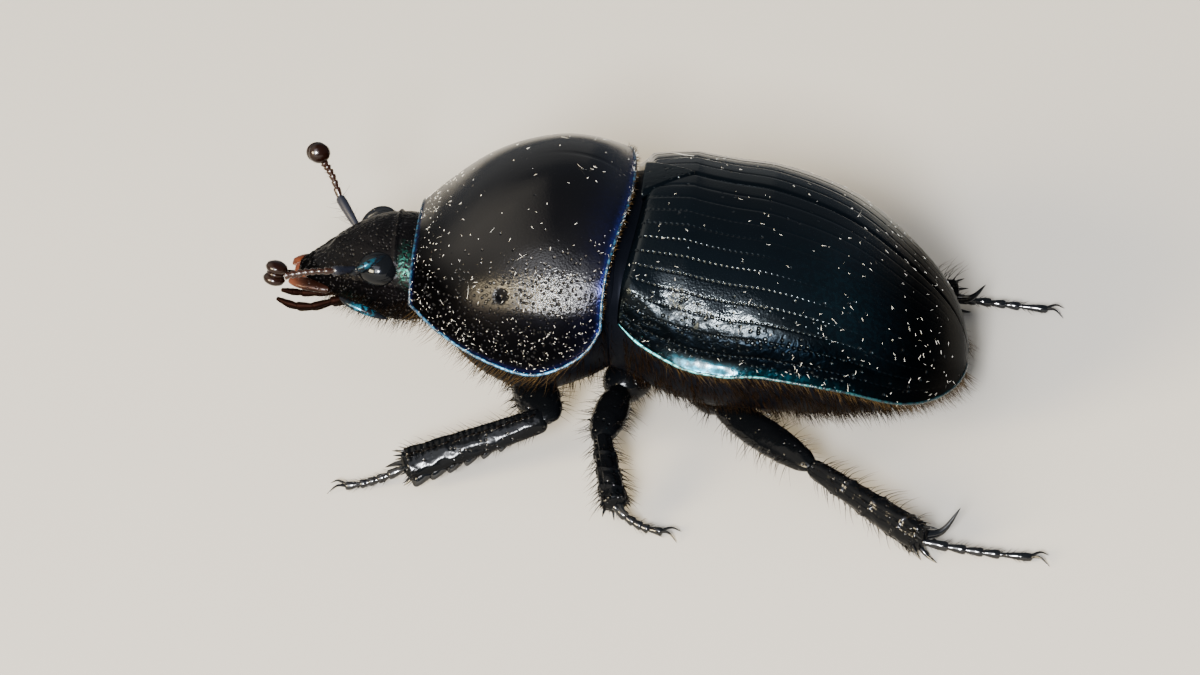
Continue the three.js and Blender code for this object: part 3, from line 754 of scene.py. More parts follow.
WING_MARKS = {"tint_and_glint": wing_tint_and_glint, "pitted": wing_pits, "grain_and_shade": wing_grain_and_shade, "dotted": wing_dots,
              "lane": wing_lanes}
elytra = {}
for name, side in SIDES.items():
    skin = wing_place(side)
    case = sheet(146, 190, skin, WING_MARKS)
    bmesh.ops.remove_doubles(case, verts=case.verts, dist=1e-7)
    thicken(case, wing_middle(side), 0.28)
    elytra[name] = keep(name + "_elytron_cuticle", case, wing_finish, [name + "_elytron"])
    bead = tube(lambda share: skin(FOLD, min(share, 0.999)),
                lambda share: 0.038 * min(1, 30 * share, 30 * (1 - share)), 8, 220,
                marks={"tint_and_glint": hem_tint_and_glint, "grain_and_shade": even(1.0)})
    keep(name + "_elytron_rim", bead, hem_finish)

# %% [markdown]
# ## The scutellum
#
# Between the bases of the wing cases sits a small triangular plate, with a fine seam round it. It is cut
# as a flat triangle would be, but it lies on the same dome as the wing cases, so it is one more sheet
# laid on their rule and lifted by a few hundredths of a millimetre. Its border is pressed down as the seam.

# %% Scutellum


def scutellum_place(across, along):
    reach = 1.5 * along
    x = WING_BASE - 0.05 + reach
    half = 1.0 * (1 - along ** 1.25) * (0.86 + 0.14 * (1 - along)) + 0.02
    y = half * (2 * across - 1)
    near = min(across, 1 - across) * 2 * half
    lift = 0.045 - 0.07 * hump(near, 0.06) - 0.07 * hump(1.5 - reach, 0.1)
    rise = math.acos(min(abs(y) / wing_half_width(x), 1) ** (1 / ARCH))
    return x, y, wing_edge(x) + (wing_top(x) - wing_edge(x)) * math.sin(rise) ** ARCH + lift


plate = sheet(36, 30, scutellum_place, {"pitted": even(0.35)})
thicken(plate, lambda place: spot(0.5, 0, 3), 0.2)
keep("scutellum_cuticle", plate, wing_finish, ["scutellum"])

# %% [markdown]
# ## The underside
#
# Under the shells lies the trunk: the breast between the fore legs, the middle and hind breast that the
# other legs hang from, and the belly with its overlapping rings. It could be one long form, but the waist
# between the fore and the middle legs has to show. So it is rolled up as two closed forms, a little
# smaller than the shells that cover them, and the belly's rings are pressed into the second as steps.

# %% Breast and belly
FIRST_RING, RING = 2.4, 0.98  # where the rings of the belly start, and how long each is


def rolled(around, along, place, marks=None):
    """A closed form: place(turn, share) gives its skin, turn going once round and share from end to end."""
    def laid(across, share):
        return place(2 * math.pi * (across % 1.0), share)

    return weld(sheet(around, along, laid, marks))


def eased(share):
    return (1 - math.cos(math.pi * share)) / 2


def round_ends(share, power):
    return max(math.sin(math.pi * share), 0.0) ** power


def trunk(front, rear, blunt, half_width, edge, top, inset, relief=lambda x, s: 0.0):
    """A stretch of the trunk under the shells; blunt is the share of its section left at each end."""
    def place(turn, share):
        x = front + (rear - front) * eased(share)
        end = blunt[0] + (blunt[1] - blunt[0]) * share
        full = (end + (1 - end) * round_ends(share, 0.7)) * (share not in (0, 1))
        c, s = math.cos(turn), math.sin(turn)
        grow = relief(x, s)
        wide = (max(half_width(x) - inset, 0.3) + grow) * full
        roof = max(top(x) - edge(x) - inset, 0.2) * full
        deep = (edge(x) - belly_bottom(x) + grow) * full
        z = edge(x) + (roof if s > 0 else deep) * signed_power(s, ARCH)
        return x, wide * signed_power(c, ARCH), z
    return rolled(64, 90, place)


def belly_rings(x, s):
    """Two seams of the breast and six rings of the belly, each ring stepping over the next."""
    if x < FIRST_RING:
        return -0.03 * hump(x - 1.3, 0.06) - 0.03 * hump(x + 0.25, 0.08)
    run = (x - FIRST_RING) / RING
    return -0.07 * (run % 1.0) ** 3 if s < 0.5 else 0.0


# mirror_shade paints shade over the whole underside: it darkens what it mirrors, and its shine is dimmed to
# grey.
under_finish = chitin("Chitin_underside", ("#040508", "#090b11"), "#243a8c", rough=(0.4, 0.55), pit_mm=0.13,
                      gloss=0.08, glint="#808080", mirror_shade=0.5)
breast = trunk(-5.45, -0.58, (0.5, 0.9), pronotum_half_width, pronotum_edge, pronotum_top, 0.33)
keep("prosternum_cuticle", breast, under_finish, ["prosternum"])
hind_body = trunk(-0.7, 8.5, (0.94, 0.5), wing_half_width, wing_edge, wing_top, 0.31, belly_rings)
keep("thorax_and_belly_cuticle", hind_body, under_finish, ["thorax", "abdomen"])

# %% [markdown]
# ## The head
#
# The head is a flat shovel. In front lies the clypeus, a rough plate with a raised border and a small
# knob where three seams meet. Behind it the crown is smoother, and a green-blue band crosses the
# temple. The outline comes from four curves, as in the solid, and noise presses the rough grain of the
# real plate into the sheet. Behind the head shows the neck, the one soft place: a dark dull skin.

# %% Head
head_half_width = smooth_curve([
    (-9.3, 0.75), (-8.9, 1.15), (-8.2, 1.5), (-7.5, 1.7), (-6.9, 1.8), (-6.3, 1.85), (-5.4, 1.9)])
head_top = smooth_curve([
    (-9.3, 4.32), (-8.6, 4.88), (-8.0, 5.34), (-7.4, 5.64), (-6.8, 5.72), (-6.2, 5.66), (-5.4, 5.3)])
head_edge = smooth_curve([(-9.3, 4.2), (-8.0, 4.35), (-6.8, 4.45), (-5.4, 4.3)])
head_bottom = smooth_curve([(-9.3, 4.05), (-8.6, 3.55), (-7.6, 2.95), (-6.6, 2.8), (-5.4, 3.1)])


def head_place(turn, share):
    x = -9.32 + 3.9 * eased(share) ** 0.85
    full = (0.35 + 0.65 * round_ends(share / 2, 0.5)) * (share not in (0, 1))
    c, s = math.cos(turn), math.sin(turn)
    edge = head_edge(x)
    y = head_half_width(x) * full * signed_power(c, ARCH)
    if s > 0:
        rough = noise.noise(Vector((x, y, 0.5)) * 6.5) + 0.7 * noise.noise(Vector((x, y, 4.5)) * 13)
        lift = 0.035 * rough * max(ramp(-7.5 - x, 0, 0.5), 0.25)
        seam = hump(abs(y) - 0.9 * min(max(x + 8.25, 0), 1.2), 0.06) * (x > -8.4)
        lift += 0.14 * hump(math.hypot(x + 8.3, y), 0.2) - 0.03 * seam
        lift += 0.05 * hump(s, 0.12) * (x < -7.9) + 0.09 * hump(x + 6.62, 0.04)
        z = edge + (head_top(x) - edge) * full * s ** ARCH + lift * min(full * 1.5, 1)
    else:
        z = edge + (edge - head_bottom(x)) * full * signed_power(s, ARCH)
    return x, y, z


def head_tint_and_glint(across, share, place):
    x, y, z = place
    temple = 0.15 * hump(x + 6.32, 0.14) * hump(z - 5.0, 0.34) * (abs(y) > 0.9)
    # The temple band is the chitin's own green; the faint patch on the cheek is a painted glint.
    cheek = 0.05 * hump(x + 7.75, 0.3) * hump(z - 3.75, 0.2) * (abs(y) > 0.9)
    return min(1, temple + cheek)


# More pits on the lower head, and with them more painted shade, so it is darker there.
def head_pits_and_shade(across, share, place):
    return 0.7 if place[2] > 4.5 else 1.0


head_finish = chitin("Chitin_head", ("#030304", "#0a090b"), "#109a86", rough=(0.2, 0.32), metal=0.9,
                     pit_mm=0.11, pit_depth_mm=0.04, crease_mm=0.16, crease_depth_mm=0.05, patch=1.0,
                     patch_mm=0.07, gloss=0.3)
skull = rolled(110, 110, head_place, {"tint_and_glint": head_tint_and_glint, "pitted": head_pits_and_shade})
keep("head_cuticle", skull, head_finish, ["head"])

# mirror_shade paints shade over the neck: it darkens what it mirrors, and its shine is dimmed to a dark
# brown.
neck_finish = chitin("Neck_skin", ("#080302", "#140803"), "#3a1a0c", rough=(0.45, 0.6), metal=0.0, gloss=0.06,
                     glint="#706050", mirror_shade=0.6)
neck = tube(path_through((-6.3, 0, 4.2), (-6.0, 0, 4.2), (-5.6, 0, 4.2), (-5.2, 0, 4.2)),
            lambda share: 1.7 * min(1, 20 * share, 20 * (1 - share)), 40, 20, flat=0.62)
keep("neck_skin", neck, neck_finish)

# %% [markdown]
# ## Eyes
#
# A beetle's eye is a ball of thousands of lenses, under a clear glossy skin. A ridge of the cheek, the
# canthus, crosses it from the front and shades its upper half, and a second ridge runs below it along the
# cheek. On the left side both ridges carry painted glints of blue-green, the lower one more. The ball is
# turned on a lathe, and each ridge is a tapered tube along a bent line. A fine cell pattern in the finish
# stands for the lenses, three times their real 0.02 mm so that it shows.

# %% Eyes and cheek ridges
EYE = (-7.02, 1.3, 4.79)
# mirror_shade paints shade over the lens: it darkens what the eye mirrors, and its shine is dimmed to grey.
lens_finish = chitin("Eye_lens", ("#050607", "#0c0e12"), "#191512", rough=(0.1, 0.18), metal=0.0,
                     pit_mm=0.06, pit_depth_mm=0.004, coat=0.22, gloss=0.3, glint="#8c949c", mirror_shade=0.55)
ridge_finish = chitin("Chitin_cheek_ridge", ("#08090c", "#0f1218"), "#2b8fb0", rough=(0.16, 0.26), metal=0.9,
                      patch=1.0, patch_mm=0.1)
BALL_RADIUS, BALL_STEPS = 0.42, 14
EYE_STRETCH = (1.42, 1.36, 1.12)
RIDGES = {
    "cheek_ridge": [(-7.85, 1.5, 4.66), (-7.62, 1.72, 4.88), (-7.34, 1.72, 5.07), (-7.05, 1.55, 5.17),
                    (-6.8, 1.3, 5.2)],
    "jaw_ridge": [(-8.15, 1.2, 3.87), (-7.8, 1.42, 3.76), (-7.3, 1.5, 3.57), (-6.8, 1.5, 3.38)],
}


def ridge_radius(share):
    return 0.14 * math.sin(math.pi * min(max(share, 0), 1)) ** 0.6


def ridge_glint(across, share, place):
    """Painted glints: only the left ridges get the blue-green, the lower one more than the upper."""
    return (0.3 if place[2] < 4.3 else 0.13) * hump(share - 0.55, 0.16) * (place[1] < 0)


angles = [math.pi * i / BALL_STEPS for i in range(BALL_STEPS + 1)]
ball = [(BALL_RADIUS * math.sin(angle), -BALL_RADIUS * math.cos(angle)) for angle in angles]
for name, side in SIDES.items():
    eye = stand(turned(ball, 36), (EYE[0], side * EYE[1], EYE[2]), (0, 0, 1), (1, 0, 0), EYE_STRETCH)
    keep(name + "_eye_lens", eye, lens_finish, [name + "_eye"])
    for kind, line in RIDGES.items():
        path = path_through(*[(x, side * y, z) for x, y, z in line])
        ridge = tube(path, ridge_radius, 16, 36, flat=0.8, marks={"tint_and_glint": ridge_glint, "pitted": even(0.6)})
        keep(f"{name}_{kind}", ridge, ridge_finish)

# %% [markdown]
# ## Mouth
#
# Under the shovel sit the upper lip, a pair of broad curved jaws that show red-brown where the light
# comes through, and two pairs of jointed feelers, the palps. The jaws are bars with a flat section and
# the palps are short strings of turned joints.

# %% Lip, jaws and palps
mouth_finish = chitin("Red_brown_chitin", ("#080302", "#1c0b05"), "#964a20", rough=(0.2, 0.34), metal=0.0,
                      pit_mm=0.1, crease_mm=0.2, crease_depth_mm=0.03)
# mirror_shade paints shade over the palps: it darkens what they mirror, and their shine is dimmed to grey.
dark_mouth = chitin("Dark_brown_chitin", ("#060302", "#120705"), "#3a1a10", rough=(0.45, 0.6), metal=0.0,
                    gloss=0.06, glint="#606060", mirror_shade=0.7)
PALP_JOINTS = [(0.25, 0.1, 0.12), (0.2, 0.08, 0.1), (0.2, 0.09, 0.11), (0.16, 0.09, 0.1), (0.19, 0.1, 0.06)]


def joint_profile(length, base, tip):
    """Half-outline of one joint of a feeler or foot: slim at its base, fullest before its tip."""
    return [(0, 0), (base * 0.7, 0), (base, 0.08 * length), (base * 0.9, 0.2 * length),
            ((base + tip) / 2, 0.5 * length), (tip, 0.82 * length), (tip * 0.92, 0.95 * length),
            (tip * 0.55, length), (0, length)]


def string_of_joints(path, joints, steps=12, bury=0.06):
    """Turned joints set end to end along a path; joints holds (share of the length, base, tip) of each."""
    parts, run = [], 0.0
    for share, base, tip in joints:
        start, end = Vector(path(run)), Vector(path(min(run + share, 1.0)))
        way = end - start
        joint = turned(joint_profile(way.length + bury, base, tip), steps)
        parts.append(stand(joint, start - way.normalized() * bury / 2, way))
        run += share
    return gather(parts)


def lip_radius(share):
    return (0.5 - 0.08 * share) * min(1, 8 * share, (9 * (1 - share)) ** 0.5)


def jaw_radius(share):
    return 0.32 * (1 - 0.5 * share ** 2) * min(1, 8 * share, (6 * (1 - share)) ** 0.6)


def jaw_tint(across, share, place):
    return 0.17 * hump(share - 0.85, 0.2)


def jaw_pits(across, share, place):
    return 0.6 * hump(share - 0.4, 0.3)


lip = tube(path_through((-8.9, 0, 4.1), (-9.2, 0, 4.1), (-9.46, 0, 4.04)), lip_radius, 20, 16, flat=0.3,
           marks={"tint_and_glint": even(0.22)})
keep("labrum_cuticle", lip, mouth_finish, ["labrum"])
for name, side in SIDES.items():
    line = [(-8.3, side * 0.75, 3.93), (-8.8, side * 0.78, 3.99), (-9.25, side * 0.7, 4.02),
            (-9.56, side * 0.4, 4.02)]
    jaw = tube(path_through(*line), jaw_radius, 16, 30, flat=0.5,
               marks={"tint_and_glint": jaw_tint, "pitted": jaw_pits})
    keep(name + "_mandible_cuticle", jaw, mouth_finish, [name + "_mandible"])
    for kind, spread, drop in (("maxillary", 0.85, 0), ("labial", 0.32, 0.3)):
        line = [(-7.75, spread * 0.8, 3.62 - 0.9 * drop), (-8.4, spread, 3.56 - drop),
                (-9.0, spread + 0.15, 3.44 - drop), (-9.5, spread + 0.1, 3.48 - drop),
                (-9.85, spread, 3.58 - drop)]
        palp = string_of_joints(path_through(*[(x, side * y, z) for x, y, z in line]), PALP_JOINTS)
        keep(f"{name}_{kind}_palp_cuticle", palp, dark_mouth, [f"{name}_{kind}_palp"])

# %% [markdown]
# ## Antennae
#
# Each antenna has a long first joint, a string of seven small beads, and a club of three cupped leaves that
# can fan open. The joints are turned and strung on the same bent line that the solid follows, but slimmer.

# %% Antennae
ANTENNAE = {
    "left": {"stalk": [(-7.7, -1.3, 4.75), (-8.1, -1.8, 4.93), (-8.8, -1.9, 4.92), (-9.5, -1.88, 4.78)],
             "club": (-9.78, -1.88, 4.84), "leaves": (0.22, 0, 0.97)},
    "right": {"stalk": [(-7.75, 1.2, 4.6), (-8.35, 2.0, 5.15), (-8.65, 2.35, 5.8), (-8.95, 2.52, 6.2)],
              "club": (-9.05, 2.6, 6.37), "leaves": (0.25, -0.85, 0.3)},
}
scape_finish = chitin("Chitin_feeler_root", ("#07080c", "#12141d"), "#24306a", rough=(0.25, 0.4))
# Painted shade: the clubs' dark red-brown is darkened further, for the shade on the far club, and
# mirror_shade dims their mirror.
club_finish = chitin("Club_chitin", ("#050201", "#130603"), "#34120a", rough=(0.12, 0.2), metal=0.0,
                     pit_mm=0.05, pit_depth_mm=0.003, mirror_shade=0.3)
ROOT_JOINT = [(1.0, 0.1, 0.14)]
BEAD_JOINTS = [(0.2, 0.08, 0.1)] + [(0.8 / 6, 0.06, 0.095 + 0.006 * i) for i in range(6)]
LEAF = [(0, -0.15), (0.15, -0.14), (0.25, -0.09), (0.3, 0.0), (0.26, 0.09), (0.16, 0.15), (0, 0.17)]
for name, parts in ANTENNAE.items():
    stalk = path_through(*parts["stalk"])
    root = string_of_joints(lambda share: stalk(share * 0.4), ROOT_JOINT)
    beads = string_of_joints(lambda share: stalk(0.38 + share * 0.62), BEAD_JOINTS)
    keep(name + "_antenna_root", root, scape_finish)
    keep(name + "_antenna_beads", beads, mouth_finish, [name + "_antenna"])
    way = Vector(parts["leaves"]).normalized()
    leaves = []
    for i, thick in ((-1, -1.0), (0, 0.5), (1, 1.0)):
        at = Vector(parts["club"]) + way * 0.17 * i
        size = 1.02 if i else 0.8
        leaves.append(weld(stand(turned(LEAF, 24), at, way, (1, 0, 0), (size, 0.92 * size, thick))))
    keep(name + "_antenna_leaves", gather(leaves), club_finish, [name + "_antenna_club"])

# %% [markdown]
# ## Six legs
#
# A dor beetle digs with its fore legs, so they are stout, and the hind legs that push it along are long.
# Each leg could be posed with an armature, but this beetle only stands. So its joints are listed as
# places: hip, root of the thigh, knee, ankle, the bend of the foot and its tip, and the way that the broad
# side of the shin faces. Each kind of leg has one set of sizes, the same as the solids. The chitin of the
# legs is rough and full of creases, and shines like wet coal.

# %% The plan of the legs
FORE = {"coxa": (0.5, 0.62), "femur": (0.62, 0.44), "tibia": (0.34, 0.48, 0.3), "spur": (0.5, -0.1)}
MIDDLE = {"coxa": (0.42, 0.6), "femur": (0.5, 0.42), "tibia": (0.26, 0.36, 0.32), "spur": (0.3, 0.05)}
HIND = {"coxa": (0.52, 0.55), "femur": (0.5, 0.4), "tibia": (0.25, 0.5, 0.36), "spur": (1.0, 0.85)}
LEGS = {
    "left_fore": (FORE, (-3.35, -0.9, 2.1), (-3.05, -2.0, 2.15), (-2.28, -4.3, 1.95), (-6.05, -5.05, 0.75),
                  (-6.9, -5.15, 0.28), (-8.0, -5.1, 0.19), (0, 0.6, 0.8)),
    "left_mid": (MIDDLE, (-0.15, -0.85, 1.75), (-0.5, -2.1, 1.75), (-0.8, -4.45, 1.5), (-0.3, -6.85, 0.72),
                 (0.3, -7.1, 0.19), (1.35, -7.25, 0.19), (1, 0.2, 0.2)),
    "left_hind": (HIND, (1.75, -0.95, 1.55), (2.2, -2.5, 1.6), (4.8, -5.7, 1.5), (7.9, -7.95, 0.54),
                  (9.2, -8.05, 0.3), (11.15, -7.95, 0.19), (0.4, -0.4, 1)),
    "right_fore": (FORE, (-3.35, 0.9, 2.1), (-3.1, 2.0, 2.15), (-2.6, 4.25, 1.95), (-4.9, 7.25, 0.76),
                   (-5.4, 7.95, 0.28), (-6.1, 8.75, 0.19), (0, -0.6, 0.8)),
    "right_mid": (MIDDLE, (-0.15, 0.85, 1.75), (-0.3, 2.1, 1.75), (0.1, 4.45, 1.5), (1.6, 6.4, 0.72),
                  (2.2, 6.9, 0.19), (3.2, 7.5, 0.19), (1, 0.2, 0.2)),
    "right_hind": (HIND, (1.75, 0.95, 1.55), (2.2, 2.5, 1.6), (5.0, 5.3, 1.5), (8.3, 6.9, 0.54),
                   (9.4, 7.1, 0.3), (11.25, 7.05, 0.19), (0.4, 0.4, 1)),
}
UP = Vector((0, 0, 1))
HIP_FACING, THIGH_FACING = (1, 0, 0), (1, 0, 0.2)  # which way their broad sides look
# Painted shade on all legs: pitted and below zero on the grain mark, so the finish darkens what they mirror.
LEG_MARKS = {"pitted": even(0.3), "grain_and_shade": even(-0.28)}
leg_finish = chitin("Chitin_leg", ("#030405", "#08090c"), "#5f9aa8", rough=(0.06, 0.12), metal=1.0,
                    pit_mm=0.14, pit_depth_mm=0.03, grain_mm=0.1, grain_depth_mm=0.02, crease_mm=0.34,
                    crease_depth_mm=0.06, patch=0.8, gloss=0.35)
print("legs:", ", ".join(LEGS))

# %% [markdown]
# ## Hips and thighs
#
# A limb is a swollen bar between two joints, broader one way than the other. The hip is plump and short,
# and sits half sunk in the breast. The thigh is longer, with a groove along its lower side that the shin
# folds into. A subdivided box would give smooth bars too, but here one rule of share and turn can also
# press in the groove and the rough skin.

# %% Hips and thighs


def limb_ways(start, end, facing):
    """A limb's way, its direction, and the directions of its broad and of its thin side."""
    way = Vector(end) - Vector(start)
    axis = way.normalized()
    thin = axis.cross(Vector(facing)).normalized()
    return way, axis, thin.cross(axis), thin


def limb(start, end, facing, broad, thin, around, along, relief):
    """A bar between two joints of a leg, with a rough skin; turn 0 is the side towards facing."""
    way, axis, broad_way, thin_way = limb_ways(start, end, facing)

    def place(turn, step):
        share, c, s = eased(step), math.cos(turn), math.sin(turn)
        shut = 0.0 if step in (0, 1) else 1.0
        rough = noise.noise(Vector((share * way.length * 3, 2.2 * c, 2.2 * s + start[1])))
        grow = relief(share, turn) + 0.02 * rough
        wide, thick = (broad(share) + grow) * c * shut, (thin(share) + grow) * s * shut
        return tuple(Vector(start) + way * share + broad_way * wide + thin_way * thick)

    return rolled(around, along, place, LEG_MARKS)


def plump(size):
    return lambda share: size * max(4 * share * (1 - share), 0) ** 0.4


def shin_groove(share, turn):
    """The groove along the thigh, deepest near the knee."""
    return -0.05 * hump(math.sin(turn) + 0.9, 0.3) * min(6 * share, 1) * (share > 0.5)


def coxa_of(build, hip, root):
    inset, size = build["coxa"]
    away = (root - hip).normalized()
    return limb(hip - away * inset, root + away * 0.12, HIP_FACING, plump(size * 1.12), plump(size * 0.98),
                32, 24, lambda share, turn: 0.0)


def femur_of(build, root, knee):
    broad, thin = build["femur"]
    away = (knee - root).normalized()
    return limb(root - away * 0.1, knee + away * 0.2, THIGH_FACING, plump(broad * 0.98), plump(thin * 0.98),
                36, 40, shin_groove)


for name, (build, hip, root, knee, *rest) in LEGS.items():
    hip, root, knee = Vector(hip), Vector(root), Vector(knee)
    keep(name + "_coxa_cuticle", coxa_of(build, hip, root), leg_finish, [name + "_coxa"])
    keep(name + "_femur_cuticle", femur_of(build, root, knee), leg_finish, [name + "_femur"])

# %% [markdown]
# ## Shins
#
# The fore shins are broad and saw-toothed, with fine rungs along the outer face. The other shins carry
# three cross ridges and widen like a trouser leg. All end in a crown of short thorns and a movable spur,
# and the hind shins have a long one that curves upwards. The ridges are pressed into the bar by its rule.
# Teeth and thorns stick out too far for that, so they are small forms of their own, set into the bar.

# %% Shins


def blunt(share, reach=0.055):
    """Rounds the ends of a bar: 1 in its middle, falling to 0 at both ends."""
    near = min(share / reach, (1 - share) / reach, 1)
    return max(1 - (1 - near) ** 2, 0) ** 0.5


def tooth(at, way, broad, size):
    form = turned([(0, -0.2), (0.22, -0.18), (0.18, -0.04), (0.11, 0.09), (0.04, 0.2), (0.0, 0.22)], 12)
    return stand(form, at, way, broad, (size * 1.25, size * 0.6, size))


def thorn(root, middle, tip, size):
    def radius(share):
        return size * min(1, 9 * share) * (1 - share) ** 0.7

    return tube(path_through(root, middle, tip), radius, 10, 18)


def shin_sizes(build):
    narrow, wide, thick = build["tibia"]
    return (lambda share: (narrow + (wide - narrow) * share) * blunt(share),
            lambda share: min(narrow + (thick - narrow) * share * 1.5, thick) * blunt(share))


def rungs(share, turn):
    """The skin of a fore shin: fine rungs on the outer face and a hollow behind the teeth."""
    outer = 0.02 * math.cos(2 * math.pi * share * 24 + 3 * turn) * hump(math.sin(turn / 2 + 0.4), 0.22)
    return outer - 0.06 * hump(math.sin(turn) + 0.75, 0.25) * hump(math.cos(turn) - 0.1, 0.5)


def combs(share, turn):
    """The skin of the other shins: three slanting cross ridges, each steep on the side of the ankle."""
    slant = share - 0.05 * math.cos(turn) + 0.02 * math.sin(3 * turn)
    ridge = max(hump(slant - k, 0.03) * (slant < k) + hump(slant - k, 0.012) for k in (0.3, 0.55, 0.8))
    return 0.024 * ridge - 0.04 * hump(math.cos(2 * turn) + 0.2, 0.3)


def teeth(knee, way, axis, broad_way, broad):
    """Six teeth along the outer edge of a fore shin, growing towards the ankle."""
    made = []
    for i in range(1, 7):
        share = 0.25 + 0.70 * i / 6
        size = 0.62 + 0.12 * i
        at = knee + way * (share - 0.02) - broad_way * (broad(min(share, 0.93)) * 0.84)
        made.append(tooth(at, axis * (0.5 + 0.05 * i) - broad_way, axis, size))
    return made


def spurs(build, ankle, axis, broad_way, inward):
    """The movable spur at the end of a shin; a hind shin has a long one and a short one."""
    reach, lift = build["spur"]
    root, tip = ankle - axis * 0.15 + inward * 0.12, ankle + axis * 0.5 + inward * reach + UP * lift
    if build is not HIND:
        return [thorn(root, ankle + axis * 0.2 + inward * reach * 0.6, tip, 0.11)]
    return [thorn(root, ankle + axis * 0.25 + inward * 0.52 + UP * 0.2, tip, 0.15),
            thorn(ankle - axis * 0.12 - broad_way * 0.2, ankle + axis * 0.2 - broad_way * 0.38,
                  ankle + axis * 0.62 - broad_way * 0.42, 0.09)]


def crown(ankle, axis, broad_way, thin_way, broad, thin):
    """Seven short thorns round the end of a shin."""
    made = []
    for i in range(7):
        c, s = math.cos(2 * math.pi * i / 7), math.sin(2 * math.pi * i / 7)
        out = broad_way * c + thin_way * s
        root = ankle - axis * 0.1 + broad_way * (0.8 * broad(0.93) * c) + thin_way * (0.8 * thin(0.93) * s)
        made.append(thorn(root, root + axis * 0.14 + out * 0.08, root + axis * 0.3 + out * 0.14, 0.05))
    return made


def tibia_of(build, knee, ankle, facing, inward):
    way, axis, broad_way, thin_way = limb_ways(knee, ankle, facing)
    broad, thin = shin_sizes(build)
    bar = limb(knee, ankle + axis * 0.06, facing, broad, thin, 48, 130, rungs if build is FORE else combs)
    saw = teeth(knee, way, axis, broad_way, broad) if build is FORE else []
    return gather([bar] + saw + spurs(build, ankle, axis, broad_way, inward)
                  + crown(ankle, axis, broad_way, thin_way, broad, thin))


for name, (build, hip, root, knee, ankle, bend, toe, facing) in LEGS.items():
    knee, ankle = Vector(knee), Vector(ankle)
    axis = (ankle - knee).normalized()
    inward = Vector((-axis.y, axis.x, 0)).normalized() * (1 if axis.x * hip[1] < 0 else -1)
    shin = tibia_of(build, knee, ankle, facing, inward)
    keep(name + "_tibia_cuticle", shin, leg_finish, [name + "_tibia"])

# %% [markdown]
# ## Feet
#
# Every foot is a chain of five slim joints that ends in two claws. It comes down from the ankle in a bow
# and lies on the floor. The joints are turned and strung like those of the feelers, and each claw is a
# thorn whose tip points down and away from the other.

# %% Feet
FOOT_JOINTS = [(0.24, 0.1, 0.14), (0.17, 0.09, 0.135), (0.16, 0.085, 0.13), (0.15, 0.085, 0.13),
               (0.28, 0.07, 0.12)]


def foot_path(ankle, bend, toe):
    ankle, bend, toe = Vector(ankle), Vector(bend), Vector(toe)
    ahead = (toe - bend).to_2d().normalized().to_3d()
    last = toe - ahead * 0.4

    def path(share):
        at = ankle * (1 - share) ** 2 + bend * 2 * share * (1 - share) + last * share ** 2
        return Vector((at.x, at.y, max(at.z - 0.05, 0.142)))

    return path, last, ahead


def tarsus_of(ankle, bend, toe):
    path, last, ahead = foot_path(ankle, bend, toe)
    parts = [string_of_joints(path, FOOT_JOINTS, 16, 0.09)]
    side = UP.cross(ahead)
    for turn in (-1, 1):
        start = Vector((last.x, last.y, 0.15)) - ahead * 0.05
        tip = Vector((last.x, last.y, 0.03)) + ahead * 0.5 + side * turn * 0.33
        parts.append(thorn(start, start + ahead * 0.3 + side * turn * 0.16 + UP * 0.06, tip, 0.05))
    return gather(parts)


for name, (build, hip, root, knee, ankle, bend, toe, facing) in LEGS.items():
    keep(name + "_tarsus_cuticle", tarsus_of(ankle, bend, toe), leg_finish, [name + "_tarsus"])

# %% [markdown]
# ## Hair and bristles
#
# Brown hair fringes the shells from below, and the legs carry rows of stiff black bristles that keep
# earth away. Blender's own hair curves would be quickest to comb, but they are lost when the model
# leaves Blender, so each hair is a slim three-sided spike of solid mesh. One spike is made with
# operators, and arrays repeat it. On the map named OFBake each hair is a small patch at the place where
# its root lies on the unwrap of the skin.

# %% One hair, and how to comb many
PATCH = 0.003  # width of a hair's patch on its map
CLEAR_OF_FLOOR = 0.02 * MM
spike = bmesh.new()
bmesh.ops.create_cone(spike, cap_ends=True, segments=3, radius1=1, radius2=0, depth=1)
long_edges = [edge for edge in spike.edges if abs(edge.verts[0].co.z - edge.verts[1].co.z) > 0.5]
bmesh.ops.subdivide_edges(spike, edges=long_edges, cuts=2)
bmesh.ops.triangulate(spike, faces=spike.faces)
bmesh.ops.translate(spike, verts=spike.verts, vec=(0, 0, 0.5))
SPIKE = np.array([corner.co for corner in spike.verts])
spike.verts.index_update()
SPIKE_FACES = np.array([[corner.index for corner in face.verts] for face in spike.faces])
spike.free()


def normalised(ways):
    return ways / np.maximum(np.linalg.norm(ways, axis=1, keepdims=True), 1e-9)


def combed(strands):
    """The corners of all hairs. roots are places in the scene, and lengths and radii are in millimetres."""
    keys = ("root", "way", "curl", "length", "radius")
    roots, ways, curls, lengths, radii = [np.concatenate([part[key] for part in strands]) for key in keys]
    ways = normalised(ways)
    side = normalised(np.cross(ways, np.where(np.abs(ways[:, 2:3]) > 0.9, [[1.0, 0, 0]], [[0, 0, 1.0]])))
    lift = np.cross(ways, side)
    x, y, z = SPIKE.T
    reach = (lengths * MM)[:, None, None]
    points = (roots[:, None] + ways[:, None] * z[None, :, None] * reach
              + curls[:, None] * (z ** 2)[None, :, None] * reach
              + (side[:, None] * x[None, :, None] + lift[:, None] * y[None, :, None])
              * (radii * MM)[:, None, None])
    points[:, :, 2] = np.maximum(points[:, :, 2], CLEAR_OF_FLOOR)
    return points


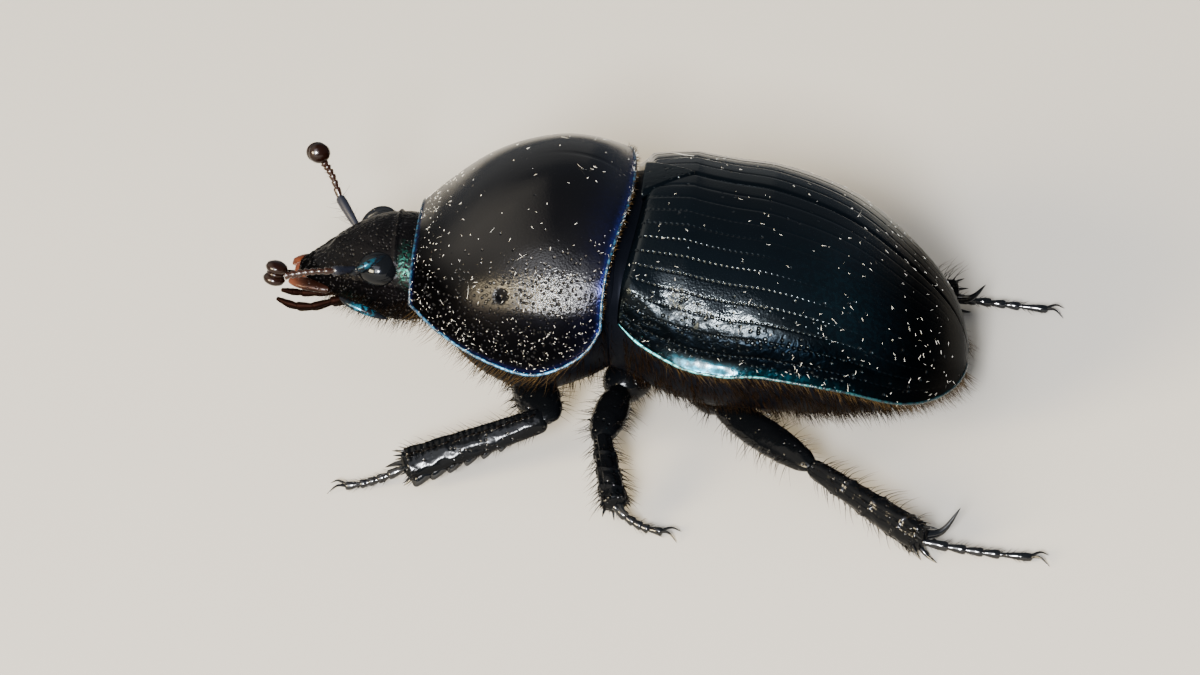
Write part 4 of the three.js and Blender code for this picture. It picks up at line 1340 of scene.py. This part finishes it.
def comb(name, strands, material):
    """One piece of hair. Each of the strands holds arrays of root, way, curl, length, radius and place on
    the unwrap."""
    points = combed(strands)
    count = len(points)
    faces = (SPIKE_FACES[None] + (np.arange(count) * len(SPIKE))[:, None, None]).reshape(-1, 3)
    mesh = bpy.data.meshes.new(name)
    mesh.vertices.add(count * len(SPIKE))
    mesh.vertices.foreach_set("co", points.reshape(-1))
    mesh.loops.add(faces.size)
    mesh.loops.foreach_set("vertex_index", faces.reshape(-1))
    mesh.polygons.add(len(faces))
    mesh.polygons.foreach_set("loop_start", np.arange(0, faces.size, 3))
    mesh.update(calc_edges=True)
    at = np.concatenate([part["at"] for part in strands])
    patch = at[:, None] + np.stack([SPIKE[:, 0] * 0.5, SPIKE[:, 2] - 0.5], 1)[None] * PATCH
    places = mesh.uv_layers.new(name="OFBake")
    places.data.foreach_set("uv", patch.reshape(-1, 2)[faces.reshape(-1)].reshape(-1))
    mesh.shade_smooth()
    mesh.materials.append(material)
    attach(add_object(name, mesh), "root")
    print(name, "-", count, "hairs,", len(faces), "triangles")


print("one hair has", len(SPIKE_FACES), "triangles")

# %% [markdown]
# ## Where hairs grow
#
# A coat covers a skin, and bristles stand in rows. For a coat, triangles of the skin are drawn by lot,
# weighed by area, and a rule keeps a root or drops it. A particle system would do the same, but the rule
# can ask for things that a weight map can't, such as the height above the floor. For a row, the line is
# known, so the roots are set out along it and only jostled a little. The dice have a seed of their own
# for each coat or row, so the beetle looks the same each time.

# %% Coats and rows
WHOLE = (0, 0, 1, 1)  # a tile that covers the whole map
ALL_ROUND = (0, 360)


def read(items, key, width, kind=float):
    """One property of all items of a mesh, as rows of an array."""
    values = np.zeros(len(items) * width, kind)
    items.foreach_get(key, values)
    return values.reshape(-1, width)


def roots_on(piece, count, chance, seed, tile):
    """Random places on a piece: points, normals and places on the unwrap, put into a tile of it.
    chance(x, y, z, normals) says how likely a place is kept, in millimetres from HOME."""
    mesh = piece.data
    mesh.calc_loop_triangles()
    points, unwrap = read(mesh.vertices, "co", 3), read(mesh.uv_layers["Unwrap"].data, "uv", 2)
    a, b, c = points[read(mesh.loop_triangles, "vertices", 3, int)].transpose(1, 0, 2)
    ua, ub, uc = unwrap[read(mesh.loop_triangles, "loops", 3, int)].transpose(1, 0, 2)
    normals = np.cross(b - a, c - a)
    areas = np.linalg.norm(normals, axis=1)
    dice = np.random.default_rng(seed)
    picked = dice.choice(len(areas), count, p=areas / areas.sum())
    s, t = dice.random((2, count, 1))
    s, t = np.where(s + t > 1, 1 - s, s), np.where(s + t > 1, 1 - t, t)
    root = a[picked] + s * (b - a)[picked] + t * (c - a)[picked]
    at = ua[picked] + s * (ub - ua)[picked] + t * (uc - ua)[picked]
    normal = normalised(normals[picked])
    x, y, z = ((root - np.array(HOME)) / MM).T
    kept = dice.random(count) < chance(x, y, z, normal)
    at = np.array(tile[:2]) + at * (np.array(tile[2:]) - np.array(tile[:2]))
    return root[kept], normal[kept], at[kept], dice


def strands_on(piece, seed, count, chance, lie, length, radius, curl=(0, 0, 0), spread=0.25, tile=WHOLE,
               flat=False):
    """Hairs on a piece. lie holds how far they follow the skin's normal, and a way that is added to it;
    flat ones are laid on the skin."""
    root, normal, at, dice = roots_on(piece, count, chance, seed, tile)
    n = len(root)
    way = normalised(normal * lie[0] + np.array(lie[1])) + dice.normal(0, spread, (n, 3))
    if flat:
        way -= normal * (way * normal).sum(1, keepdims=True)
    return {"root": root + normal * (0.008 if flat else -0.02) * MM, "way": way, "at": at,
            "curl": np.array(curl)[None] + dice.normal(0, 0.12, (n, 3)),
            "length": dice.uniform(*length, n), "radius": dice.uniform(*radius, n)}


def bristles(skin, tile, seed, count, shares, turns, lean, length, radius, spread=0.12):
    """Bristles on a bar. skin(turn, share) gives a place, the way out and the way onward. lean says how far
    each bristle points outwards, onwards and sideways, and how far its tip bends onwards."""
    dice = np.random.default_rng(seed)
    rows = {"root": [], "way": [], "curl": [], "at": []}
    for i in range(count):
        share = shares[0] + (shares[1] - shares[0]) * (i + dice.uniform(0.2, 0.8)) / count
        turn = math.radians(dice.uniform(*turns))
        at, out, onward = skin(turn, share)
        way = out * lean[0] + onward * lean[1] + onward.cross(out) * lean[2]
        rows["root"].append(spot(*(at - out * 0.03)))
        rows["way"].append(way + Vector(dice.normal(0, spread, 3)))
        rows["curl"].append(onward * lean[3] + Vector(dice.normal(0, 0.08, 3)))
        rows["at"].append((tile[0] + (turn / (2 * math.pi) % 1) * (tile[2] - tile[0]),
                           tile[1] + share * (tile[3] - tile[1])))
    made = {key: np.array(rows[key]) for key in rows}
    made["length"], made["radius"] = dice.uniform(*length, count), dice.uniform(*radius, count)
    return made


print("hair can be combed in coats and in rows")

# %% [markdown]
# ## The brown coat
#
# Under the shells the beetle is furry. The dark coat grows below the edges of the shells, and three rules
# say where. Golden fringes stand in rows instead, along three lines: the lower hem of the wing cases, the
# sides of the neck shield and its rear edge, where short hairs stand in the gap. A hair is a thin strand
# of chitin, brown or black, with a soft shine along it. Some light is lost in the coat, and its colour and
# shine are darkened further as painted shade, for the shade under the body.

# %% Brown coat


def hair_finish(name, dark, light, rough, gloss=0.5, mirror_shade=0.0):
    """Hair between a dark and a light tone, which change over a quarter of a millimetre."""
    made, tree, place = blank_material(name)
    drift = add_node(tree, "ShaderNodeTexNoise", {"Vector": place, "Scale": 1 / (0.25 * MM), "Detail": 2.0})
    mixed = add_node(tree, "ShaderNodeMix", {"Factor": drift.outputs["Fac"], "A": colour(dark),
                     "B": colour(light)}, data_type="RGBA")
    # mirror_shade is painted shade: the hair turns metallic with its dark colour as mirror, and its shine
    # grey.
    shader = add_node(tree, "ShaderNodeBsdfPrincipled", {"Base Color": mixed.outputs["Result"],
                      "Roughness": rough, "IOR": 1.55, "Specular IOR Level": gloss,
                      "Metallic": mirror_shade, "Specular Tint": colour("#ffffff" if mirror_shade == 0 else "#505050")})
    add_node(tree, "ShaderNodeOutputMaterial", {"Surface": shader.outputs["BSDF"]})
    return made


# Painted shade: the brown is darkened and its shine dimmed, for the shade under the body; the feeler hairs
# share it. The golden hair's shine is dimmed the same way.
brown = hair_finish("Brown_hair", "#030201", "#150d06", 0.5, 0.15, 0.7)
golden = hair_finish("Golden_hair", "#0a0704", "#44341c", 0.35, 0.25, 0.35)
underneath = bpy.data.objects["thorax_and_belly_cuticle"]
breast_piece = bpy.data.objects["prosternum_cuticle"]
head_piece = bpy.data.objects["head_cuticle"]


def under_wings(x, y, z, normals):
    below = np.interp(x, *zip(*WING_EDGE[1:])) - z
    dense = np.exp(-np.maximum(below - 0.45, 0) / 0.9)
    return np.where((below > -0.25) & (x > -0.3), dense, 0) * (normals[:, 2] < 0.6)


def under_belly(x, y, z, normals):
    return (normals[:, 2] < -0.2) * 0.35


def under_shield(x, y, z, normals):
    edge = np.interp(x, *zip(*SHIELD_EDGE))
    return np.where(z < edge + 0.2, 0.3 + 0.7 * np.exp(-np.abs(edge - z) / 0.5), 0) * (normals[:, 2] < 0.7)


def under_head(x, y, z, normals):
    return (z < 4.15) * (x > -8.9) * (normals[:, 2] < 0.2) * 0.5


def shield_edge(turn, share):
    """The rear edge of the neck shield, and the ways up and back from it."""
    at = Vector(pronotum_place(0.02 + 0.96 * share, 0.995))
    return at, Vector((0.3, at.y / 6, (at.z - 4) / 5)).normalized(), Vector((1, 0, 0))


def shield_side(turn, share):
    """The lower edge of the neck shield on either side, and the ways down and forward from it."""
    across = 0.0 if share < 0.5 else 1.0
    at = Vector(pronotum_place(across, 0.03 + 0.94 * (2 * share % 1)))
    return at, Vector((0, math.copysign(0.25, at.y), -1)), Vector((-1, 0, 0))


def wing_hem(side):
    """The lower edge of a wing case, and the ways down and back from it."""
    hem = wing_place(side)

    def skin(turn, share):
        at = Vector(hem(0.5 + 0.5 * FOLD, share))
        return at - Vector((0, side * 0.1, 0)), Vector((0, side * 0.1, -1)), Vector((1, 0, 0))
    return skin


comb("belly_hair", [
    strands_on(underneath, 11, 24000, under_wings, (0.8, (0.45, 0, -0.55)), (0.22, 0.42), (0.008, 0.013),
               (0.25, 0, -0.35), 0.22),
    strands_on(underneath, 12, 9000, under_belly, (0.7, (0.8, 0, -0.2)), (0.2, 0.4), (0.008, 0.012),
               (0.3, 0, 0)),
], brown)
comb("breast_hair", [
    strands_on(breast_piece, 13, 7000, under_shield, (0.9, (-0.35, 0, -0.5)), (0.2, 0.45), (0.008, 0.013),
               (-0.1, 0, -0.3), tile=(0, 0, 0.5, 1)),
    strands_on(head_piece, 14, 4200, under_head, (0.8, (-0.4, 0, -0.5)), (0.25, 0.5), (0.007, 0.011),
               (-0.2, 0, -0.2), tile=(0.5, 0, 1, 1)),
], brown)
comb("neck_shield_fringe", [
    bristles(shield_side, WHOLE, 16, 280, (0, 1), ALL_ROUND, (0.9, 0.6, 0.0, 0.3), (0.35, 0.7),
             (0.009, 0.013), 0.3),
], golden)
fringes = [bristles(shield_edge, (0, 0, 1, 0.3), 15, 330, (0, 1), ALL_ROUND, (0.25, 0.9, 0.0, -0.2),
                    (0.16, 0.3), (0.008, 0.012), 0.35)]
for i, side in enumerate(SIDES.values()):
    fringes.append(bristles(wing_hem(side), (0.5 * i, 0.3, 0.5 * i + 0.5, 1), 17 + i, 520, (0.04, 0.93),
                            ALL_ROUND, (1.0, 0.45, 0.0, 0.25), (0.3, 0.6), (0.008, 0.012), 0.3))
comb("golden_fringes", fringes, golden)

# %% [markdown]
# ## Bristles of the legs
#
# Stiff bristles help a leg to push earth. They stand in rows on the two edges of each shin, a crown
# of them closes its end, and the fore shins carry a row of stout pegs along the upper face. The feelers
# have long fine hairs on the first joint and short ones on the beads. Rows follow a known line, so the
# rule of each leg or feeler gives the roots here, instead of chance over its whole skin.

# %% Bristles of the legs


def limb_skin(start, end, facing, broad, thin):
    way, axis, broad_way, thin_way = limb_ways(start, end, facing)

    def skin(turn, share):
        c, s = math.cos(turn), math.sin(turn)
        at = Vector(start) + way * share + broad_way * (broad(share) * c) + thin_way * (thin(share) * s)
        return at, (broad_way * c + thin_way * s).normalized(), axis

    return skin


def round_skin(path, radius):
    """The skin of a chain of joints on a path. The path is read between 0 and 1 only."""
    def skin(turn, share):
        onward = (path(min(share + 0.02, 1)) - path(max(share - 0.02, 0))).normalized()
        side = onward.cross(UP).normalized()
        out = side * math.cos(turn) + side.cross(onward) * math.sin(turn)
        return path(share) + out * radius, out, onward

    return skin


def shin_rows(build, side):
    """The rows of a shin, in order of their seeds. Each says how many bristles, where along it, where round
    it in degrees, how they lean, their length, their radius, and sometimes their spread."""
    if build is FORE:
        return [
            (21, (0.05, 0.94), (side * 60 - 3, side * 60 + 3), (0.35, 0.7, side * 0.5, 0), (0.24, 0.3),
             (0.036, 0.044), 0.05),
            (34, (0.1, 0.95), (-20, 20), (0.7, 0.6, 0, 0.2), (0.25, 0.45), (0.008, 0.012)),
            (60, (0.1, 0.95), (150, 210), (0.8, 0.5, 0, 0.1), (0.14, 0.3), (0.01, 0.016)),
            (80, (0.05, 0.95), ALL_ROUND, (0.5, 0.8, 0, 0), (0.1, 0.2), (0.01, 0.016))]
    if build is MIDDLE:
        return [
            (38, (0.06, 0.95), (-35, 35), (0.8, 0.6, 0, 0.1), (0.35, 0.65), (0.013, 0.019)),
            (38, (0.06, 0.95), (145, 215), (0.8, 0.6, 0, 0.1), (0.35, 0.65), (0.013, 0.019)),
            (70, (0.05, 0.95), ALL_ROUND, (0.5, 0.8, 0, 0), (0.12, 0.25), (0.01, 0.016))]
    return [
        (48, (0.06, 0.97), (-22, 22), (0.85, 0.35, 0, 0.5), (0.5, 0.8), (0.012, 0.018)),
        (54, (0.06, 0.97), (155, 205), (0.85, 0.35, 0, 0.3), (0.35, 0.6), (0.012, 0.018)),
        (110, (0.05, 0.97), ALL_ROUND, (0.5, 0.8, 0, 0), (0.12, 0.26), (0.011, 0.018))]


SHIN_END = (26, (0.9, 0.985), ALL_ROUND, (0.5, 0.9, 0, 0), (0.2, 0.34), (0.018, 0.028))
FOOT_ROW = (70, (0.02, 0.95), (-60, 240), (0.6, 0.8, 0, 0), (0.16, 0.32), (0.009, 0.014))
HIP_COAT = (150, (0.25, 0.95), ALL_ROUND, (0.9, 0.4, 0, 0.1), (0.25, 0.5), (0.009, 0.014))
THIGH_BELOW = (60, (0.12, 0.9), (140, 240), (0.9, 0.3, 0, 0.2), (0.3, 0.6), (0.009, 0.014))
THIGH_ABOVE = (46, (0.12, 0.9), (-50, 50), (0.9, 0.3, 0, 0.2), (0.3, 0.6), (0.009, 0.014))
SCAPE_ROW = (26, (0.08, 0.4), ALL_ROUND, (0.9, 0.5, 0, 0.1), (0.2, 0.5), (0.005, 0.008), 0.2)
BEAD_ROW = (30, (0.42, 0.95), ALL_ROUND, (0.9, 0.4, 0, 0), (0.08, 0.18), (0.004, 0.006), 0.2)
black = hair_finish("Black_bristle", "#030202", "#0c0805", 0.25, 0.3)

hairs = []
for i, parts in enumerate(ANTENNAE.values()):
    feeler = round_skin(path_through(*parts["stalk"]), 0.09)
    hairs.append(bristles(feeler, (0.5 * i, 0, 0.5 * i + 0.5, 0.5), 61 + i, *SCAPE_ROW))
    hairs.append(bristles(feeler, (0.5 * i, 0.5, 0.5 * i + 0.5, 1), 63 + i, *BEAD_ROW))
comb("feeler_hairs", hairs, brown)
for order, (name, (build, hip, root, knee, ankle, bend, toe, facing)) in enumerate(LEGS.items()):
    girth = plump(build["coxa"][1])
    hip_skin = limb_skin(hip, root, HIP_FACING, girth, girth)
    thigh = limb_skin(root, knee, THIGH_FACING, *[plump(size) for size in build["femur"]])
    shin = limb_skin(knee, ankle, facing, *shin_sizes(build))
    foot = round_skin(foot_path(ankle, bend, toe)[0], 0.1)
    on_hip, on_thigh, on_shin, on_foot = [(0.25 * i, 0, 0.25 * i + 0.25, 1) for i in range(4)]
    seed = 100 + 20 * order
    rows = [bristles(shin, on_shin, seed, *SHIN_END), bristles(foot, on_foot, seed + 1, *FOOT_ROW),
            bristles(hip_skin, on_hip, seed + 2, *HIP_COAT)]
    rows += [bristles(shin, on_shin, seed + 3 + i, *row)
             for i, row in enumerate(shin_rows(build, math.copysign(1, hip[1])))]
    rows += [bristles(thigh, on_thigh, seed + 7, *THIGH_BELOW),
             bristles(thigh, on_thigh, seed + 8, *THIGH_ABOVE)]
    comb(name + "_bristles", rows, black)

# %% [markdown]
# ## Dust, stray hairs and painted glints
#
# A beetle that lives in the soil is never clean. Bright specks of plant fibre lie all over the shells,
# more of them low down, with a few fine bent hairs; their pale colour stands partly for glints too. On
# the flanks and the front of the neck shield, tiny pale specks are painted glints, for the sparkle of
# light in its fine pits. They are the same spikes again, laid flat on the skin, and a few pale ones stand
# up at the rear edge of the neck shield.

# %% Dust, stray hairs and painted glints


def outside(y, z, normals):
    return (normals[:, 1] * y + normals[:, 2] * (z - 3.8)) > 0


def dusty_wing(x, y, z, normals):
    low = np.clip((6.0 - z) / 2.5, 0, 1) * np.clip(0.4 + x / 9, 0, 1)
    return outside(y, z, normals) * (0.22 + 0.78 * low)


def dusty_shield(x, y, z, normals):
    return outside(y, z, normals) * (0.16 + 0.84 * np.clip((6.8 - z) / 2, 0, 1))


# Painted glints: tiny pale specks on the lower flank and the front of the neck shield.
def glint_specks(x, y, z, normals):
    flank, front = np.clip((5.1 - z) / 0.8, 0, 1), np.clip((-5.0 - x) / 0.8, 0, 1) * 0.7
    return outside(y, z, normals) * np.maximum(flank, front)


def flat_specks_on(piece, seed, count, chance, length, radius, third):
    """Spikes laid flat on a piece, turned any way; they take one third of the map."""
    tile = (0.33 * third, 0, 0.33 * third + 0.33, 1)
    return strands_on(piece, seed, count, chance, (0, (0, 0, 0)), length, radius, spread=1, tile=tile,
                      flat=True)


# Pale dust, whitened to stand partly for glints as well.
pale_dust_and_glint = hair_finish("Pale_dust_and_glint_specks", "#98958c", "#e2e0d8", 0.4)
specks = [
    # Painted glints on the neck shield:
    flat_specks_on(pronotum, 41, 3600, glint_specks, (0.02, 0.06), (0.007, 0.011), 0),
    bristles(shield_edge, (0, 0, 0.33, 1), 43, 150, (0.02, 0.98), ALL_ROUND, (0.3, 0.9, 0, -0.2), (0.1, 0.22),
             (0.006, 0.009), 0.45),
    flat_specks_on(pronotum, 31, 900, dusty_shield, (0.04, 0.13), (0.006, 0.012), 0),
    flat_specks_on(pronotum, 32, 90, dusty_shield, (0.2, 0.5), (0.004, 0.006), 0)]
for i, case in enumerate(elytra.values()):
    specks.append(flat_specks_on(case, 33 + i, 900, dusty_wing, (0.04, 0.17), (0.005, 0.009), 1 + i))
    specks.append(flat_specks_on(case, 36 + i, 22, dusty_wing, (0.4, 0.8), (0.006, 0.009), 1 + i))
comb("shell_dust_and_glint_specks", specks, pale_dust_and_glint)

# %% [markdown]
# ## Floor and camera
#
# The floor is plain pale paper, large enough to fill the view from every side. The camera looks down on
# the left side at 26 degrees, from 22 centimetres away, as a long macro lens does. Its focal length
# could be tried out by eye, but it follows from the width that should fill the frame.

# %% Floor and camera
sheet_of_paper = bmesh.new()
bmesh.ops.create_grid(sheet_of_paper, x_segments=1, y_segments=1, size=1.5)
floor_data = bpy.data.meshes.new("floor")
sheet_of_paper.to_mesh(floor_data)
sheet_of_paper.free()
paper = bpy.data.materials.new("Matte_paper")
paper.use_nodes = True
paper_shader = paper.node_tree.nodes["Principled BSDF"]
paper_shader.inputs["Base Color"].default_value = colour("#a5a19a")
paper_shader.inputs["Roughness"].default_value = 0.9
floor_data.materials.append(paper)
add_object("floor", floor_data)

AZIMUTH, ELEVATION = math.radians(4), math.radians(26)
DISTANCE, VIEW_WIDTH = 220 * MM, 32.432 * MM
AIM = (-1.162, 2.0946, 2.0)  # millimetres to the right, up and back from the joint, in the view's own ways
SENSOR_MM = 36
level = Vector((math.sin(AZIMUTH), -math.cos(AZIMUTH), 0))
right = Vector((math.cos(AZIMUTH), math.sin(AZIMUTH), 0))
back = level * math.cos(ELEVATION) + UP * math.sin(ELEVATION)
up = back.cross(right)
aim_at = HOME + (right * AIM[0] + up * AIM[1] + back * AIM[2]) * MM
lens = bpy.data.cameras.new("camera")
lens.sensor_width = SENSOR_MM
lens.lens = SENSOR_MM * DISTANCE / VIEW_WIDTH
lens.clip_start, lens.clip_end = 0.01, 10
camera = add_object("camera", lens)
facing = Matrix((right, up, back)).transposed().to_4x4()
camera.matrix_world = Matrix.Translation(aim_at + back * DISTANCE) @ facing
bpy.context.scene.camera = camera
print("focal length", round(lens.lens), "mm")

# %% [markdown]
# ## Light
#
# A black shell shows little of its own colour: what the eye sees is mostly the mirrored room. So the
# lamps are placed by what they should draw on the shell. The bright patch on the flank of the neck
# shield needs a warm and a white panel low on the beetle's left, and the soft grey over its shoulder
# needs a wide panel ahead of it. That one is built from three nested panels, because one would mirror as
# a hard-edged box.

# %% Light


def softbox(name, azimuth, elevation, distance, size, power, tone):
    """A soft light seen from the beetle in that direction, in degrees."""
    a, e = math.radians(azimuth), math.radians(elevation)
    way = Vector((math.cos(a) * math.cos(e), math.sin(a) * math.cos(e), math.sin(e)))
    data = bpy.data.lights.new(name, "AREA")
    data.shape = "RECTANGLE"
    data.size, data.size_y = size
    data.energy = power
    data.color = colour(tone)[:3]
    lamp = add_object(name, data)
    turn = way.to_track_quat("Z", "Y").to_matrix().to_4x4()
    lamp.matrix_world = Matrix.Translation(HOME + way * distance) @ turn
    lamp.visible_camera = False


HAZE = (((1.65, 1.15), 3.4), ((1.25, 0.9), 2.1), ((0.85, 0.65), 1.1))
softbox("warm_window", -131, 18, 0.6, (0.24, 0.17), 15.0, "#ffe9bc")
softbox("window", -102, 23, 0.6, (0.2, 0.26), 4.2, "#ffffff")
softbox("lamp", -93, 23, 0.6, (0.06, 0.09), 18.5, "#ffffff")
softbox("upper_window", -108, 46, 0.6, (0.3, 0.24), 1.2, "#f4f6ff")
for i, (size, power) in enumerate(HAZE):
    softbox(f"haze_{i}", -175, 42, 0.8 + 0.02 * i, size, power, "#fff4e0")
softbox("far_window", 112, 22, 1.0, (1.1, 0.5), 0.36, "#fff6e6")
world = bpy.data.worlds.new("studio")
bpy.context.scene.world = world
world.use_nodes = True
background = world.node_tree.nodes["Background"]
background.inputs["Color"].default_value = colour("#98a0aa")
background.inputs["Strength"].default_value = 0.55
print("lamps:", len(bpy.data.lights))
